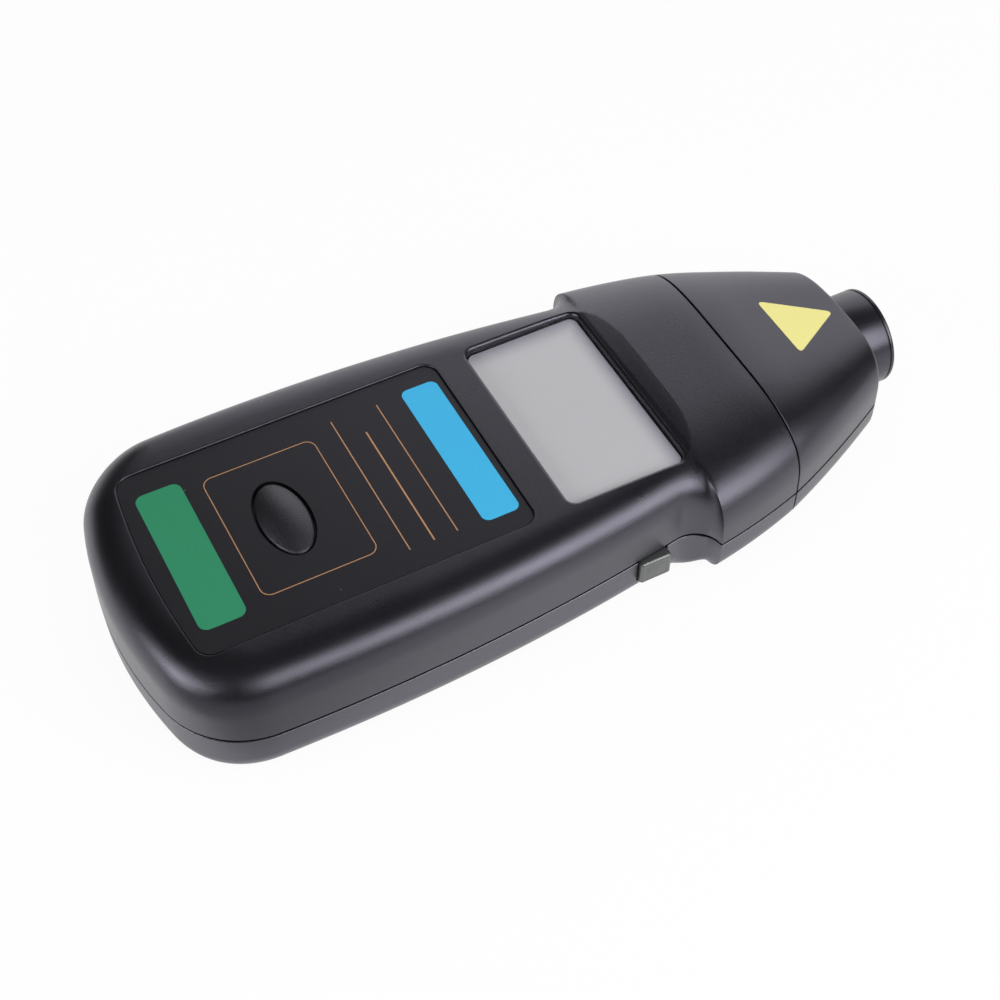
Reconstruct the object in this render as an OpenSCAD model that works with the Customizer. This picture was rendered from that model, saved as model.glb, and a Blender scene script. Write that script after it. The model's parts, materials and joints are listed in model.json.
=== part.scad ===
// Hand-held laser tachometer: two half shells, a two-piece nose, a lens tube and what they hold.
// It lies on its back: +X points to the lens, +Z out of the face, and the origin is under its middle.

/* [Housing plan] */
// Length of the whole tachometer, from the tail to the end of the lens tube
overall_l = 185; // [180:0.5:198]
// Length of the head, from that step to the seam of the nose
head_l = 22; // [18:0.5:28]
// Length of the nose, from the seam to its front
nose_l = 32; // [28:0.5:40]
// Width of the grip at its belly
grip_w = 75.4; // [70:0.2:82]
// Distance from the tail to the belly
belly_l = 40; // [34:1:50]
// Width of the waist, between the coves
waist_w = 63.4; // [60:0.2:67]
// Radius of the cove on each side of the waist
cove_r = 6.6; // [5.8:0.1:8]
// Width of the head at its step
head_w = 75.2; // [72:0.2:80]
// Width of the head at the seam
seam_w = 65.6; // [62:0.2:69]
// Width of the nose at its front
nose_w = 38; // [34:0.2:42]
// Radius of the tail's bow
tail_r = 86; // [70:1:140]
// Radius of the tail's corners in plan
corner_r = 20; // [15:0.5:24]

/* [Housing heights] */
// Height of the parting plane, which is also the height of the optical axis
parting_h = 12.7; // [12.2:0.1:14.5]
// Height of the grip's face
grip_h = 29.2; // [28.6:0.1:32]
// Height of the head's top
head_h = 30; // [29.6:0.1:33]
// Height of the nose's top at its front
nose_h = 25.4; // [24.9:0.1:27]
// How far the nose's underside rises towards the front
nose_rise = 0.3; // [0:0.1:0.6]
// Width of the rounding along the face's edge
edge_w = 10; // [7:0.5:12]
// Height of the rounding along the face's edge
edge_h = 9; // [6:0.5:12]
// Radius of the rounding along the rear edge
rear_edge = 7; // [6:0.5:9]
// Roundness of the face's edge: 2 is an ellipse, more is squarer
edge_square = 2.5; // [2:0.1:3]
// Roundness of the head's section at its step
head_square = 3.1; // [2.5:0.1:4.5]
// Roundness of the head's section at the seam
seam_square = 3; // [2.3:0.1:4]
// Roundness of the section at the front of the nose
nose_square = 3.2; // [2.4:0.1:3.8]
// Roundness of the head's underside at its step
under_square = 3.6; // [2.8:0.1:4.2]
// Roundness of the underside at the front of the nose
under_front = 2.6; // [2.2:0.1:3.4]
// Share of the rear edge's rounding that is left in the coves
cove_edge = 0.5; // [0.4:0.05:1]
// Wall thickness of the shells
wall = 2.2; // [1.8:0.1:2.6]
// Depth of the groove that marks every seam
seam_groove = 0.3; // [0.1:0.05:0.5]

/* [Display] */
// Length of the window opening
window_l = 27.7; // [24:0.1:30]
// Width of the window opening
window_w = 49; // [44:0.2:51]
// Corner radius of the window opening
window_r = 2.2; // [1.6:0.1:4]
// Distance from the window to the step of the head
window_gap = 2; // [1:0.1:4]
// Depth of the pane below the face
window_sink = 0.8; // [0.7:0.1:1.2]
// Thickness of the clear pane
window_t = 1; // [0.8:0.1:1.2]
// How far the pane reaches under the frame
window_lap = 1.2; // [0.8:0.1:1.6]
// Thickness of the liquid crystal panel
lcd_t = 2.6; // [2:0.1:2.8]
// Height of the rubber contact strips
contact_h = 2.7; // [2.2:0.1:3]
// Rise of the slanted facet between window and head, per millimetre of length
facet_slope = 0.22; // [0.15:0.01:0.3]

/* [Label] */
// Length of the label panel
label_l = 75.4; // [70:0.2:78]
// Width of the label panel
label_w = 50.4; // [46:0.2:52]
// Distance from the label panel to the window
label_gap = 7.5; // [5:0.1:9]
// Bow of the label's tail edge
label_bow = 2; // [0.5:0.1:3]
// Corner radius of the label panel
label_r = 3.3; // [2:0.1:5]
// Depth of the label recess
label_sink = 0.4; // [0.3:0.05:0.6]
// Thickness of the label sheet
label_t = 0.35; // [0.2:0.05:0.45]

/* [Buttons] */
// Length of the oval button along the grip
key_l = 10.5; // [9:0.1:12]
// Width of the oval button across the grip
key_w = 20; // [17:0.1:23]
// Distance from the tail to the oval button
key_x = 39.6; // [36:0.1:44]
// Gap all round the oval button
key_gap = 0.55; // [0.3:0.05:0.8]
// Height of the oval button's crown above the face
key_crown = 0.5; // [0:0.1:0.8]
// Travel of the oval button
key_travel = 0.8; // [0.4:0.1:1]
// Length of the side button
side_key_l = 7.5; // [6:0.1:9]
// Height of the side button
side_key_h = 6.3; // [5.5:0.1:6.8]
// Distance from the side button to the step of the head
side_key_x = 14.1; // [13:0.1:18]
// How far the side button stands out
side_key_out = 1.8; // [1.4:0.1:2.2]
// Travel of the side button
side_key_travel = 1; // [0.5:0.1:1.2]

/* [Optics] */
// How far the lens tube stands out of the nose
tube_out = 8.5; // [6:0.5:12]
// Radius of the lens tube outside the nose
tube_r = 11.3; // [11:0.1:12]
// Step by which the tube narrows inside the nose
tube_step = 0.4; // [0.3:0.05:0.6]
// Wall of the lens tube inside the nose
tube_wall = 1.5; // [1.2:0.1:2]
// Thickness of the lens at its edge
lens_t = 3; // [2:0.1:4]
// Radius of the laser barrel
laser_r = 3.25; // [2.5:0.05:4]
// Length of the laser barrel
laser_l = 14; // [10:0.5:18]

/* [Battery] */
// Length of the battery block without its terminals
battery_l = 46.4; // [44:0.1:47]
// Width of the battery block
battery_w = 26.4; // [25:0.1:27]
// Thickness of the battery block
battery_t = 17.3; // [16:0.1:17.5]
// Width of the battery door
door_w = 30; // [28.6:0.2:33]
// Length of the battery door
door_l = 61; // [60:0.5:64]
// Clearance all round the battery door
door_gap = 0.2; // [0.15:0.05:0.35]

/* [Circuit] */
// Thickness of the circuit boards
board_t = 1.6; // [1:0.1:1.7]
// Side of the square tact switches
switch_w = 6; // [5:0.1:6.4]
// Height of the tact switches without their plungers
switch_h = 3.4; // [2.6:0.1:3.6]
// Radius of the switch plungers
plunger_r = 1.75; // [1.2:0.05:2]
// Side of the square processor chip
chip_w = 14; // [10:0.5:16]
// Height of the processor chip
chip_h = 1.8; // [1:0.1:2.2]
// Width of the sensor's ribbon cable
ribbon_w = 10; // [6:0.5:12]
// Thickness of the sensor's ribbon cable
ribbon_t = 0.5; // [0.3:0.1:0.8]
// Radius of the battery leads
lead_r = 0.6; // [0.4:0.05:0.7]
// Distance of each battery lead from the middle
lead_y = 4; // [3:0.1:6]

/* [Screws] */
// Shank radius of the case screws
screw_r = 1.3; // [1:0.05:1.6]
// Head radius of the case screws
screw_head_r = 2.5; // [2.2:0.1:2.8]
// Radius of the screw bosses
boss_r = 3.6; // [3.3:0.1:4]

/* [Hidden] */
$fn = 64;

// Places along the length
tail_x = -overall_l / 2;
grip_l = overall_l - head_l - nose_l - tube_out;
step_x = tail_x + grip_l;
seam_x = step_x + head_l;
front_x = seam_x + nose_l;
tube_x = front_x + tube_out;
belly_x = tail_x + belly_l;

// Number of steps in each stretch of the shells
tail_n = 5;
corner_n = 7;
side_n = 8;
cove_n = 8;
head_n = 4;
nose_n = 5;
edge_n = 8;

// Arcs of the plan outline on the +Y side, each tangent to the next
cove_y = waist_w / 2 + cove_r;
cove_c = [step_x - sqrt(cove_r * cove_r - pow(cove_y - head_w / 2, 2)), cove_y];
side_run = cove_c[0] - belly_x;
side_off = cove_y - grip_w / 2;
side_r = (side_run * side_run + side_off * side_off - cove_r * cove_r) / (2 * (cove_r - side_off));
side_c = [belly_x, grip_w / 2 - side_r];
tail_c = [tail_x + tail_r, 0];
corner_c = meeting(tail_c, tail_r - corner_r, side_c, side_r - corner_r);
tail_end = bearing(corner_c - tail_c);
corner_end = bearing(corner_c - side_c);
side_end = bearing(cove_c - side_c);
cove_end = bearing([step_x, head_w / 2] - cove_c);

// Laws of the section
draft = 0.02;
crown_flat = 6;
head_wall = 2;
knee_l = 14;
knee_x = seam_x - 6;
nose_slope = (head_h - nose_h) / (front_x - knee_x - knee_l / 2);
nose_bow_r = 100;
nose_core = 0.3;

// Heights of what is stacked behind the face
pane_z = grip_h - window_sink;
lcd_z = pane_z - window_t - 0.1;
board_z = lcd_z - lcd_t - contact_h;
under_face = grip_h - wall;
label_z = grip_h - label_sink;

// Plan places
window_x = step_x - window_gap - window_l / 2;
label_x1 = window_x - window_l / 2 - label_gap;
label_x0 = label_x1 - label_l;
key_c = tail_x + key_x;
side_key_c = step_x - side_key_x;
door_x = tail_x + door_l;
board_x0 = key_c - 9;
board_x1 = step_x + 6;

// Fits
fit = 0.05;
slack = 0.25;
overlap = 1;

// The oval button and its switch
key_rim = 1.2;
key_flange_t = 1.2;
key_flange_z = under_face - 0.1 - key_flange_t;
switch_top = board_z + switch_h;
key_seat_z = switch_top + key_travel + 0.15;
key_dome_r = 46;
plunger_in = 1.1;
plunger_hole = plunger_in + max(key_travel, side_key_travel) + 0.3;

// The side button and its switch
side_key_z1 = parting_h - fit * 3;
side_key_z0 = parting_h - side_key_h - fit * 3;
side_key_zc = (side_key_z0 + side_key_z1) / 2;
side_key_wall = side_half(side_key_c);
side_key_face = side_key_wall + side_key_out;
side_flange_t = 1.2;
side_flange_y = side_key_wall - wall - 1;
side_flange_lap = 1;
side_switch_y = side_flange_y - side_flange_t - side_key_travel - 0.2;
side_board_y = side_switch_y - switch_h - board_t;
board_w = 2 * side_board_y - 0.2;

// The lens tube
tube_in_r = tube_r - tube_step;
tube_bore = tube_in_r - tube_wall;
tube_back = seam_x + 4;
tube_stop = front_x + 0.2;
tube_groove_x = tube_x - 0.9;
tube_groove = 0.3;
rib_x = seam_x + 9;
rib_t = 1.6;
rib_bite = 0.5;
lens_r = tube_bore - fit;
lens_x = tube_x - 2.6 - lens_t;
lens_bulge = 1.6;
lens_dome = (lens_r * lens_r + lens_bulge * lens_bulge) / (2 * lens_bulge);

// The battery bay
bay_in = 5;
bay_x = tail_x + wall + bay_in;
bay_z = wall + slack;
terminal_h = 2.1;
snap_t = 5.4;
snap_w = 13;
snap_x = bay_x + battery_l;
bay_wall = 1.4;
door_lip = 1.2;
door_skin = wall / 2;
door_rise = 5;

// Screw places
tail_screw = [tail_x + 17, 28.4, under_face - 0.5];
head_screw = [step_x + 12, 24, under_face - 0.2];
nose_screw = [seam_x + 8.5, 20];
board_screw_x = [board_x0 + 4, board_x1 - 3];
board_screw_y = board_w / 2 - 3;
seat_h = 5;
screw_head_h = 1.8;
screw_bite = 7;
board_bite = 3;
board_head_h = 1.3;

// Angle of a direction in plan
function bearing(v) = atan2(v[1], v[0]);

// Crossing of two circles that lies towards the tail on the +Y side
function meeting(a, ra, b, rb) =
    let (d = norm(b - a), u = (b - a) / d, s = (ra * ra - rb * rb + d * d) / (2 * d))
    a + s * u - sqrt(ra * ra - s * s) * [-u[1], u[0]];

function mix(a, b, t) = a + (b - a) * t;
function smooth(t) = t * t * (3 - 2 * t);

// Half width of the grip's side at x, and of the head and nose at x
function side_half(x) = side_c[1] + sqrt(side_r * side_r - pow(x - belly_x, 2));
function head_half(x) =
    head_w / 2 * (x - seam_x) * (x - front_x) / ((step_x - seam_x) * (step_x - front_x))
    + seam_w / 2 * (x - step_x) * (x - front_x) / ((seam_x - step_x) * (seam_x - front_x))
    + nose_w / 2 * (x - step_x) * (x - seam_x) / ((front_x - step_x) * (front_x - seam_x));

// Drop of the top line: level, then a soft knee, then straight down to the nose
function knee(u) = u < 0 ? 0 : u < knee_l ? u * u / (2 * knee_l) : u - knee_l / 2;
function head_top(x) = head_h - nose_slope * knee(x - knee_x);
function nose_share(x) = max(0, (x - seam_x) / nose_l);

// Roundness of the section at x, for the front half (up is 1) and the rear half (up is -1)
function section_square(x, up) = up < 0 ? mix(under_square, under_front, max(0, (x - step_x) / (front_x - step_x)))
    : x > seam_x ? mix(seam_square, nose_square, nose_share(x))
    : mix(head_square, seam_square, max(0, (x - step_x) / head_l));

// Stations of the plan outline: place, inward direction and share of the head's section
function arc_station(c, r, a) = [c[0] + r * cos(a), c[1] + r * sin(a), -cos(a), -sin(a), 0];
function cove_station(a, share) = [cove_c[0] + cove_r * cos(a), cove_y + cove_r * sin(a), 0, -1, share];
function head_station(x, inset) = [x, head_half(x) - inset, 0, -1, 1];
case_stations = concat(
    [for (k = [0 : tail_n - 1]) arc_station(tail_c, tail_r, mix(180, tail_end, k / tail_n))],
    [for (k = [0 : corner_n - 1]) arc_station(corner_c, corner_r, mix(tail_end, corner_end, k / corner_n))],
    [for (k = [0 : side_n - 1]) arc_station(side_c, side_r, mix(corner_end, side_end, k / side_n))],
    [for (k = [0 : cove_n]) cove_station(mix(side_end - 180, cove_end, k / cove_n), k / cove_n)],
    [for (k = [1 : head_n]) head_station(mix(step_x, seam_x - seam_groove, k / head_n), 0)],
    [head_station(seam_x, seam_groove)]);

// Inset and height of the points of one rib: the seam's groove, the wall and the rounded edge
function rib_profile(h, ew, eh, square, groove) = concat(
    [[groove, 0], [0, seam_groove]],
    [for (k = [0 : edge_n]) let (a = 90 * k / edge_n)
        [draft * (h - eh) + ew * (1 - pow(cos(a), 2 / square)), h - eh + eh * pow(sin(a), 2 / square)]]);

// One cross row of a shell, from the rim on the -Y side over the spine to the other rim
function row(p, dir, profile, spine_x, h, up) =
    let (side = [for (q = profile) [p[0] + q[0] * dir[0], p[1] + q[0] * dir[1], parting_h + up * q[1]]])
    concat([for (v = side) [v[0], -v[1], v[2]]], [[spine_x, 0, parting_h + up * h]],
        [for (k = [len(side) - 1 : -1 : 0]) side[k]]);

// Height of a half shell above or below the parting plane
function case_h(s, up) = up > 0
    ? mix(grip_h, head_top(s[0]), smooth(s[4])) - parting_h
    : parting_h;

// One row of the case: up is 1 for the front half and -1 for the rear half, inset is 0 or the wall
function case_row(i, up, inset) =
    let (s = case_stations[i], last = len(case_stations) - 1)
    let (share = up > 0 ? smooth(s[4]) : pow(smooth(s[4]), 2))
    let (square = mix(up > 0 ? edge_square : 2, section_square(s[0], up), share))
    let (run = s[4] == 0 ? 0 : s[4] < 1 ? s[4] : (seam_x - s[0]) / head_l)
    let (p = [s[0] + inset * (s[2] + run), s[1] + inset * s[3]])
    let (h = case_h(s, up) - inset - (i == last ? seam_groove * (inset == 0 ? 1 : 0) : 0))
    let (under = rear_edge * (1 - (1 - cove_edge) * sin(180 * s[4])))
    let (ew = mix((up > 0 ? edge_w : under) - inset, p[1] - crown_flat, share))
    let (eh = mix((up > 0 ? edge_h : under) - inset, h - head_wall, share))
    let (profile = rib_profile(h, ew, eh, square, inset == 0 ? seam_groove : 0))
    let (end = profile[len(profile) - 1])
    let (spine_x = max(p[0] + end[0] * s[2], tail_x + inset + edge_w + 1 + i / 2))
    row(p, [s[2], s[3]], profile, spine_x, h, up);

// Places of the nose's rows, outside and inside, with the front wall closed down to a small core
nose_x = concat([seam_x, seam_x + seam_groove],
    [for (k = [1 : nose_n]) mix(seam_x + seam_groove, front_x, k / nose_n)], [front_x]);
function nose_row(i, up, inset) =
    let (core = i == len(nose_x) - 1, first = i == 0 && inset == 0)
    let (x = i == 0 ? seam_x : min(nose_x[i], front_x - inset))
    let (half = head_half(x) - inset - (first ? seam_groove : 0))
    let (full = up > 0 ? head_top(x) - parting_h : parting_h - nose_rise * nose_share(x))
    let (h = full - inset - (first ? seam_groove : 0))
    let (flat = min(crown_flat, half / 4))
    let (profile = rib_profile(h, half - flat, h - head_wall, section_square(x, up),
        inset == 0 ? seam_groove : 0))
    let (points = row([x, half], [0, -1], profile, x, h, up))
    [for (v = points)
        let (y = core ? v[1] * nose_core : v[1], z = core ? mix(parting_h, v[2], nose_core) : v[2])
        [v[0] - nose_share(x) * y * y / (2 * nose_bow_r), y, z]];

// A thick shell between an outer and an inner grid of rows; a closed one shuts at its first row
module thick_shell(outer, inner, closed, up) {
    rows = len(outer) - 1;
    cols = len(outer[0]) - 1;
    count = (rows + 1) * (cols + 1);
    function o(i, m) = closed && i == 0 ? min(m, cols - m) : i * (cols + 1) + m;
    function n(i, m) = count + o(i, m);
    function quad(a, b, c, d) = up > 0 ? [[a, b, c], [a, c, d]] : [[c, b, a], [d, c, a]];
    function split(m, a, b, c, d) = m < cols / 2 ? quad(b, c, d, a) : quad(a, b, c, d);
    skins = [for (i = [0 : rows - 1]) for (m = [0 : cols - 1]) each concat(
        split(m, o(i, m), o(i, m + 1), o(i + 1, m + 1), o(i + 1, m)),
        split(m, n(i, m), n(i + 1, m), n(i + 1, m + 1), n(i, m + 1)))];
    rims = [for (i = [0 : rows - 1]) each concat(
        quad(o(i, 0), o(i + 1, 0), n(i + 1, 0), n(i, 0)),
        quad(o(i + 1, cols), o(i, cols), n(i, cols), n(i + 1, cols)))];
    front = [for (m = [0 : cols - 1]) each quad(o(rows, m), o(rows, m + 1), n(rows, m + 1), n(rows, m))];
    back = closed ? [] : [for (m = [0 : cols - 1]) each quad(o(0, m + 1), o(0, m), n(0, m), n(0, m + 1))];
    polyhedron(concat([for (r = outer) each r], [for (r = inner) each r]), concat(skins, rims, front, back));
}

module case_shell(up) {
    last = len(case_stations) - 1;
    thick_shell([for (i = [0 : last]) case_row(i, up, 0)], [for (i = [0 : last]) case_row(i, up, wall)],
        true, up);
}

module nose_shell(up) {
    last = len(nose_x) - 1;
    thick_shell([for (i = [0 : last]) nose_row(i, up, 0)], [for (i = [0 : last]) nose_row(i, up, wall)],
        false, up);
}

// Outlines in plan
function corner_arc(x, y, r, a) = [for (k = [0 : 8]) [x + r * cos(a + 90 * k / 8), y + r * sin(a + 90 * k / 8)]];
function round_rect(l, w, r) = concat(
    corner_arc(l / 2 - r, w / 2 - r, r, 0), corner_arc(r - l / 2, w / 2 - r, r, 90),
    corner_arc(r - l / 2, r - w / 2, r, 180), corner_arc(l / 2 - r, r - w / 2, r, 270));
function oval(l, w) = [for (k = [0 : 63]) [l / 2 * cos(k * 5.625), w / 2 * sin(k * 5.625)]];

// The label's outline: a round rectangle whose tail edge bows outwards
function label_outline(inset) =
    [for (p = round_rect(label_l - 2 * inset, label_w - 2 * inset, label_r))
        let (share = max(0, -p[0] / label_l * 2), bow = label_bow * pow(2 * p[1] / label_w, 2))
        [p[0] + bow * share + (label_x0 + label_x1) / 2, p[1]]];

module plate(points, z0, z1) {
    translate([0, 0, z0]) linear_extrude(z1 - z0) polygon(points);
}

module block(x0, x1, y0, y1, z0, z1) {
    translate([x0, y0, z0]) cube([x1 - x0, y1 - y0, z1 - z0]);
}

module post(x, y, r, z0, z1) {
    translate([x, y, z0]) cylinder(r = r, h = z1 - z0);
}

// A rod along the optical axis
module axle(r, x0, x1) {
    translate([x0, 0, parting_h]) rotate([0, 90, 0]) cylinder(r = r, h = x1 - x0);
}

module both_sides() {
    children();
    mirror([0, 1, 0]) children();
}

// Screw places of the case, on the +Y side
module at_case_screws() {
    for (p = [tail_screw, head_screw]) translate([p[0], p[1], 0]) children();
}

module at_board_screws() {
    for (x = board_screw_x) for (y = [-board_screw_y, board_screw_y]) translate([x, y, 0]) children();
}

// The front half shell
module front_case() {
    color("#34343a") difference() {
        union() {
            case_shell(1);
            both_sides() for (p = [tail_screw, head_screw]) post(p[0], p[1], boss_r, parting_h, p[2]);
            at_board_screws() post(0, 0, boss_r - 1, board_z, under_face + overlap / 2);
        }
        translate([window_x, 0, 0]) plate(round_rect(window_l, window_w, window_r), under_face - 4, head_h + 1);
        translate([window_x, 0, 0]) plate(round_rect(window_l + 2 * window_lap, window_w + 2 * window_lap,
            window_r), under_face - 4, pane_z);
        facet_cut();
        plate(label_outline(0), label_z - label_t, head_h + 1);
        translate([key_c, 0, 0]) plate(oval(key_l + 2 * key_gap, key_w + 2 * key_gap), under_face - 1, head_h);
        both_sides() at_case_screws() post(0, 0, screw_r + fit, parting_h - 1, parting_h + screw_bite + 1);
        at_board_screws() post(0, 0, screw_r - 0.3 + fit, board_z - 1, board_z + board_bite + 0.4);
    }
}

// The slanted facet that lifts the window's frame up to the head
module facet_cut() {
    x0 = step_x - window_gap - 0.6;
    translate([x0, 0, grip_h - 0.5]) rotate([0, -atan(facet_slope), 0])
        plate([[0, -window_w / 2 - 1], [12, -window_w / 2 - 1], [12, window_w / 2 + 1],
            [0, window_w / 2 + 1]], 0, 3);
}

// The rear half shell, open for the battery door, the side button and the screw heads
module rear_case() {
    color("#303036") difference() {
        union() {
            case_shell(-1);
            both_sides() at_case_screws() post(0, 0, boss_r, overlap + 0.4, parting_h);
            bay_walls();
        }
        door_cut();
        side_key_cut();
        both_sides() at_case_screws() {
            post(0, 0, screw_head_r + slack, -1, seat_h);
            post(0, 0, screw_r + slack, seat_h - 1, parting_h + 1);
        }
    }
}

// Ribs that keep the battery in place
module bay_walls() {
    y0 = door_w / 2 + door_lip + door_gap + 0.4;
    x1 = door_x + door_gap + 0.8;
    both_sides() block(bay_x, x1, y0, y0 + bay_wall, wall - overlap, parting_h);
    block(x1, x1 + bay_wall, -y0 - bay_wall, y0 + bay_wall, wall - overlap, parting_h);
}

// Opening for the door: a ledge along each side, and a notch in the tail wall
module door_cut() {
    w0 = door_w / 2 + door_gap;
    w1 = w0 + door_lip;
    block(tail_x - 1, door_x + door_gap, -w0, w0, -1, wall + overlap / 2);
    block(tail_x - 1, door_x + door_gap, -w1, w1, door_skin, wall + overlap / 2);
    block(tail_x - 1, bay_x, -w0, w0, -1, door_rise + door_gap);
}

// The door: a piece of the rear shell, a flange on its ledges and ridges for the thumb
module battery_door() {
    ridge_pitch = 2.4;
    ridge_x = door_x - 16;
    color("#303036") difference() {
        union() {
            intersection() {
                case_shell(-1);
                union() {
                    block(tail_x - 1, door_x, -door_w / 2, door_w / 2, -1, wall + overlap);
                    block(tail_x - 1, bay_x - door_gap, -door_w / 2, door_w / 2, -1, door_rise);
                }
            }
            block(bay_x + 3, door_x, -door_w / 2 - door_lip, door_w / 2 + door_lip, door_skin + door_gap, wall);
        }
        for (k = [0 : 4]) block(ridge_x + k * ridge_pitch, ridge_x + (k + 0.5) * ridge_pitch,
            -door_w / 4, door_w / 4, -1, 0.45);
    }
}

module side_key_cut() {
    block(side_key_c - side_key_l / 2 - slack, side_key_c + side_key_l / 2 + slack,
        -side_key_face - 1, -side_flange_y + 0.5, side_key_z0 - slack, parting_h + 1);
}

// The nose halves clamp the lens tube and grip the groove round it
module nose_half(up) {
    difference() {
        union() {
            nose_shell(up);
            nose_posts(up);
        }
        axle(tube_in_r + fit, seam_x - 1, front_x + 1);
        nose_holes(up);
    }
    difference() {
        nose_rib(up);
        axle(tube_in_r - rib_bite + fit, rib_x - 1, rib_x + rib_t + 1);
    }
}

// The rib that grips the tube, from the parting plane into the shell
module nose_rib(up) {
    y = tube_in_r + 2;
    z = up > 0 ? head_top(rib_x + rib_t) - wall + 0.5 : wall - 0.4;
    block(rib_x, rib_x + rib_t, -y, y, min(z, parting_h), max(z, parting_h));
}

module nose_posts(up) {
    both_sides() translate([nose_screw[0], nose_screw[1], 0])
        if (up > 0) post(0, 0, boss_r, parting_h, parting_h + screw_bite + 7);
        else post(0, 0, boss_r, overlap + 0.9, parting_h);
}

module nose_holes(up) {
    both_sides() translate([nose_screw[0], nose_screw[1], 0])
        if (up > 0) post(0, 0, screw_r + fit, parting_h - 1, parting_h + screw_bite + 1);
        else {
            post(0, 0, screw_head_r + slack, -1, seat_h);
            post(0, 0, screw_r + slack, seat_h - 1, parting_h + 1);
        }
}

module nose_upper() {
    color("#3a3a41") nose_half(1);
}

module nose_lower() {
    color("#303036") nose_half(-1);
}

module face_label() {
    color("#26262a") difference() {
        plate(label_outline(0.1), label_z - label_t, label_z);
        translate([key_c, 0, 0]) plate(oval(key_l + 2 * key_gap, key_w + 2 * key_gap), label_z - 1, label_z + 1);
    }
}

module display_window() {
    color("#c8ccd0", 0.4) translate([window_x, 0, 0]) plate(round_rect(window_l + 2 * window_lap - 0.2,
        window_w + 2 * window_lap - 0.2, window_r), pane_z - window_t, pane_z);
}

module lcd_panel() {
    color("#b8b8ba") translate([window_x, 0, 0]) block(-window_l / 2 - 1, window_l / 2 + 1,
        -window_w / 2 - 0.7, window_w / 2 + 0.7, lcd_z - lcd_t, lcd_z);
}

module lcd_contacts() {
    color("#d58a9c") both_sides() block(window_x - window_l / 2, window_x + window_l / 2,
        board_w / 2 - 3.5, board_w / 2 - 1, board_z, board_z + contact_h);
}

module main_board() {
    color("#2f6b3c") difference() {
        block(board_x0, board_x1, -board_w / 2, board_w / 2, board_z - board_t, board_z);
        at_board_screws() post(0, 0, screw_r, board_z - board_t - 1, board_z + 1);
    }
}

module processor_chip() {
    color("#1c1c1e") block(window_x - chip_w / 2, window_x + chip_w / 2, -chip_w / 2, chip_w / 2,
        board_z - board_t - chip_h, board_z - board_t);
}

module crystal_can() {
    can_r = 2.2;
    color("#b9bcc0") translate([door_x + 14, 6, board_z - board_t - can_r * 2]) linear_extrude(can_r * 2)
        polygon(round_rect(can_r * 2, 10.5, can_r * 0.98));
}

// The oval button: domed cap, flange under the face and a boss over the switch
module memory_button() {
    dome_z = grip_h + key_crown - key_dome_r;
    flange_l = key_l + 2 * (key_rim + key_gap);
    flange_w = key_w + 2 * (key_rim + key_gap);
    room = switch_w / 2 + 0.4;
    color("#2b2b2f") union() {
        intersection() {
            translate([key_c, 0, 0]) plate(oval(key_l, key_w), key_seat_z, head_h + 3);
            translate([key_c, 0, dome_z]) sphere(r = key_dome_r, $fn = 128);
        }
        difference() {
            translate([key_c, 0, 0]) plate(oval(flange_l, flange_w), key_flange_z, key_flange_z + key_flange_t);
            block(key_c - room, key_c + room, -room, room, key_flange_z - 1, key_seat_z);
        }
    }
}

module memory_plunger() {
    color("#3b3b3b") post(key_c, 0, plunger_r, switch_top - plunger_in, key_seat_z);
}

module memory_switch() {
    color("#8d9096") difference() {
        block(key_c - switch_w / 2, key_c + switch_w / 2, -switch_w / 2, switch_w / 2, board_z, switch_top);
        post(key_c, 0, plunger_r + fit, switch_top - plunger_hole, switch_top + 1);
    }
}

// A rod across the grip at the side button's height
module side_rod(r, y0, y1) {
    translate([side_key_c, -y1, side_key_zc]) rotate([-90, 0, 0]) cylinder(r = r, h = y1 - y0);
}

// The side button: a bevelled cap in the wall and a flange behind it
module test_button() {
    bevel = 0.7;
    l = side_key_l / 2;
    cap = [[side_flange_y - side_flange_t, -l], [side_key_face - bevel, -l], [side_key_face, bevel - l],
        [side_key_face, l - bevel], [side_key_face - bevel, l], [side_flange_y - side_flange_t, l]];
    color("#3f4545") union() {
        plate([for (p = cap) [side_key_c + p[1], -p[0]]], side_key_z0, side_key_z1);
        block(side_key_c - l - side_flange_lap, side_key_c + l + side_flange_lap,
            -side_flange_y, side_flange_t - side_flange_y, side_key_z0, side_key_z1);
    }
}

module test_plunger() {
    color("#3b3b3b") side_rod(plunger_r, side_switch_y - plunger_in, side_flange_y - side_flange_t);
}

module test_switch() {
    color("#8d9096") difference() {
        block(side_key_c - switch_w / 2, side_key_c + switch_w / 2, -side_switch_y, -side_board_y - board_t,
            side_key_zc - switch_w / 2, side_key_zc + switch_w / 2);
        side_rod(plunger_r + fit, side_switch_y - plunger_hole, side_switch_y + 1);
    }
}

// The upright board that carries the side switch at the main board's edge
module switch_board() {
    color("#2f6b3c") block(side_key_c - switch_w, side_key_c + switch_w, -side_board_y - board_t, -side_board_y,
        side_key_zc - switch_w / 2 - 1, board_z);
}

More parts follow.
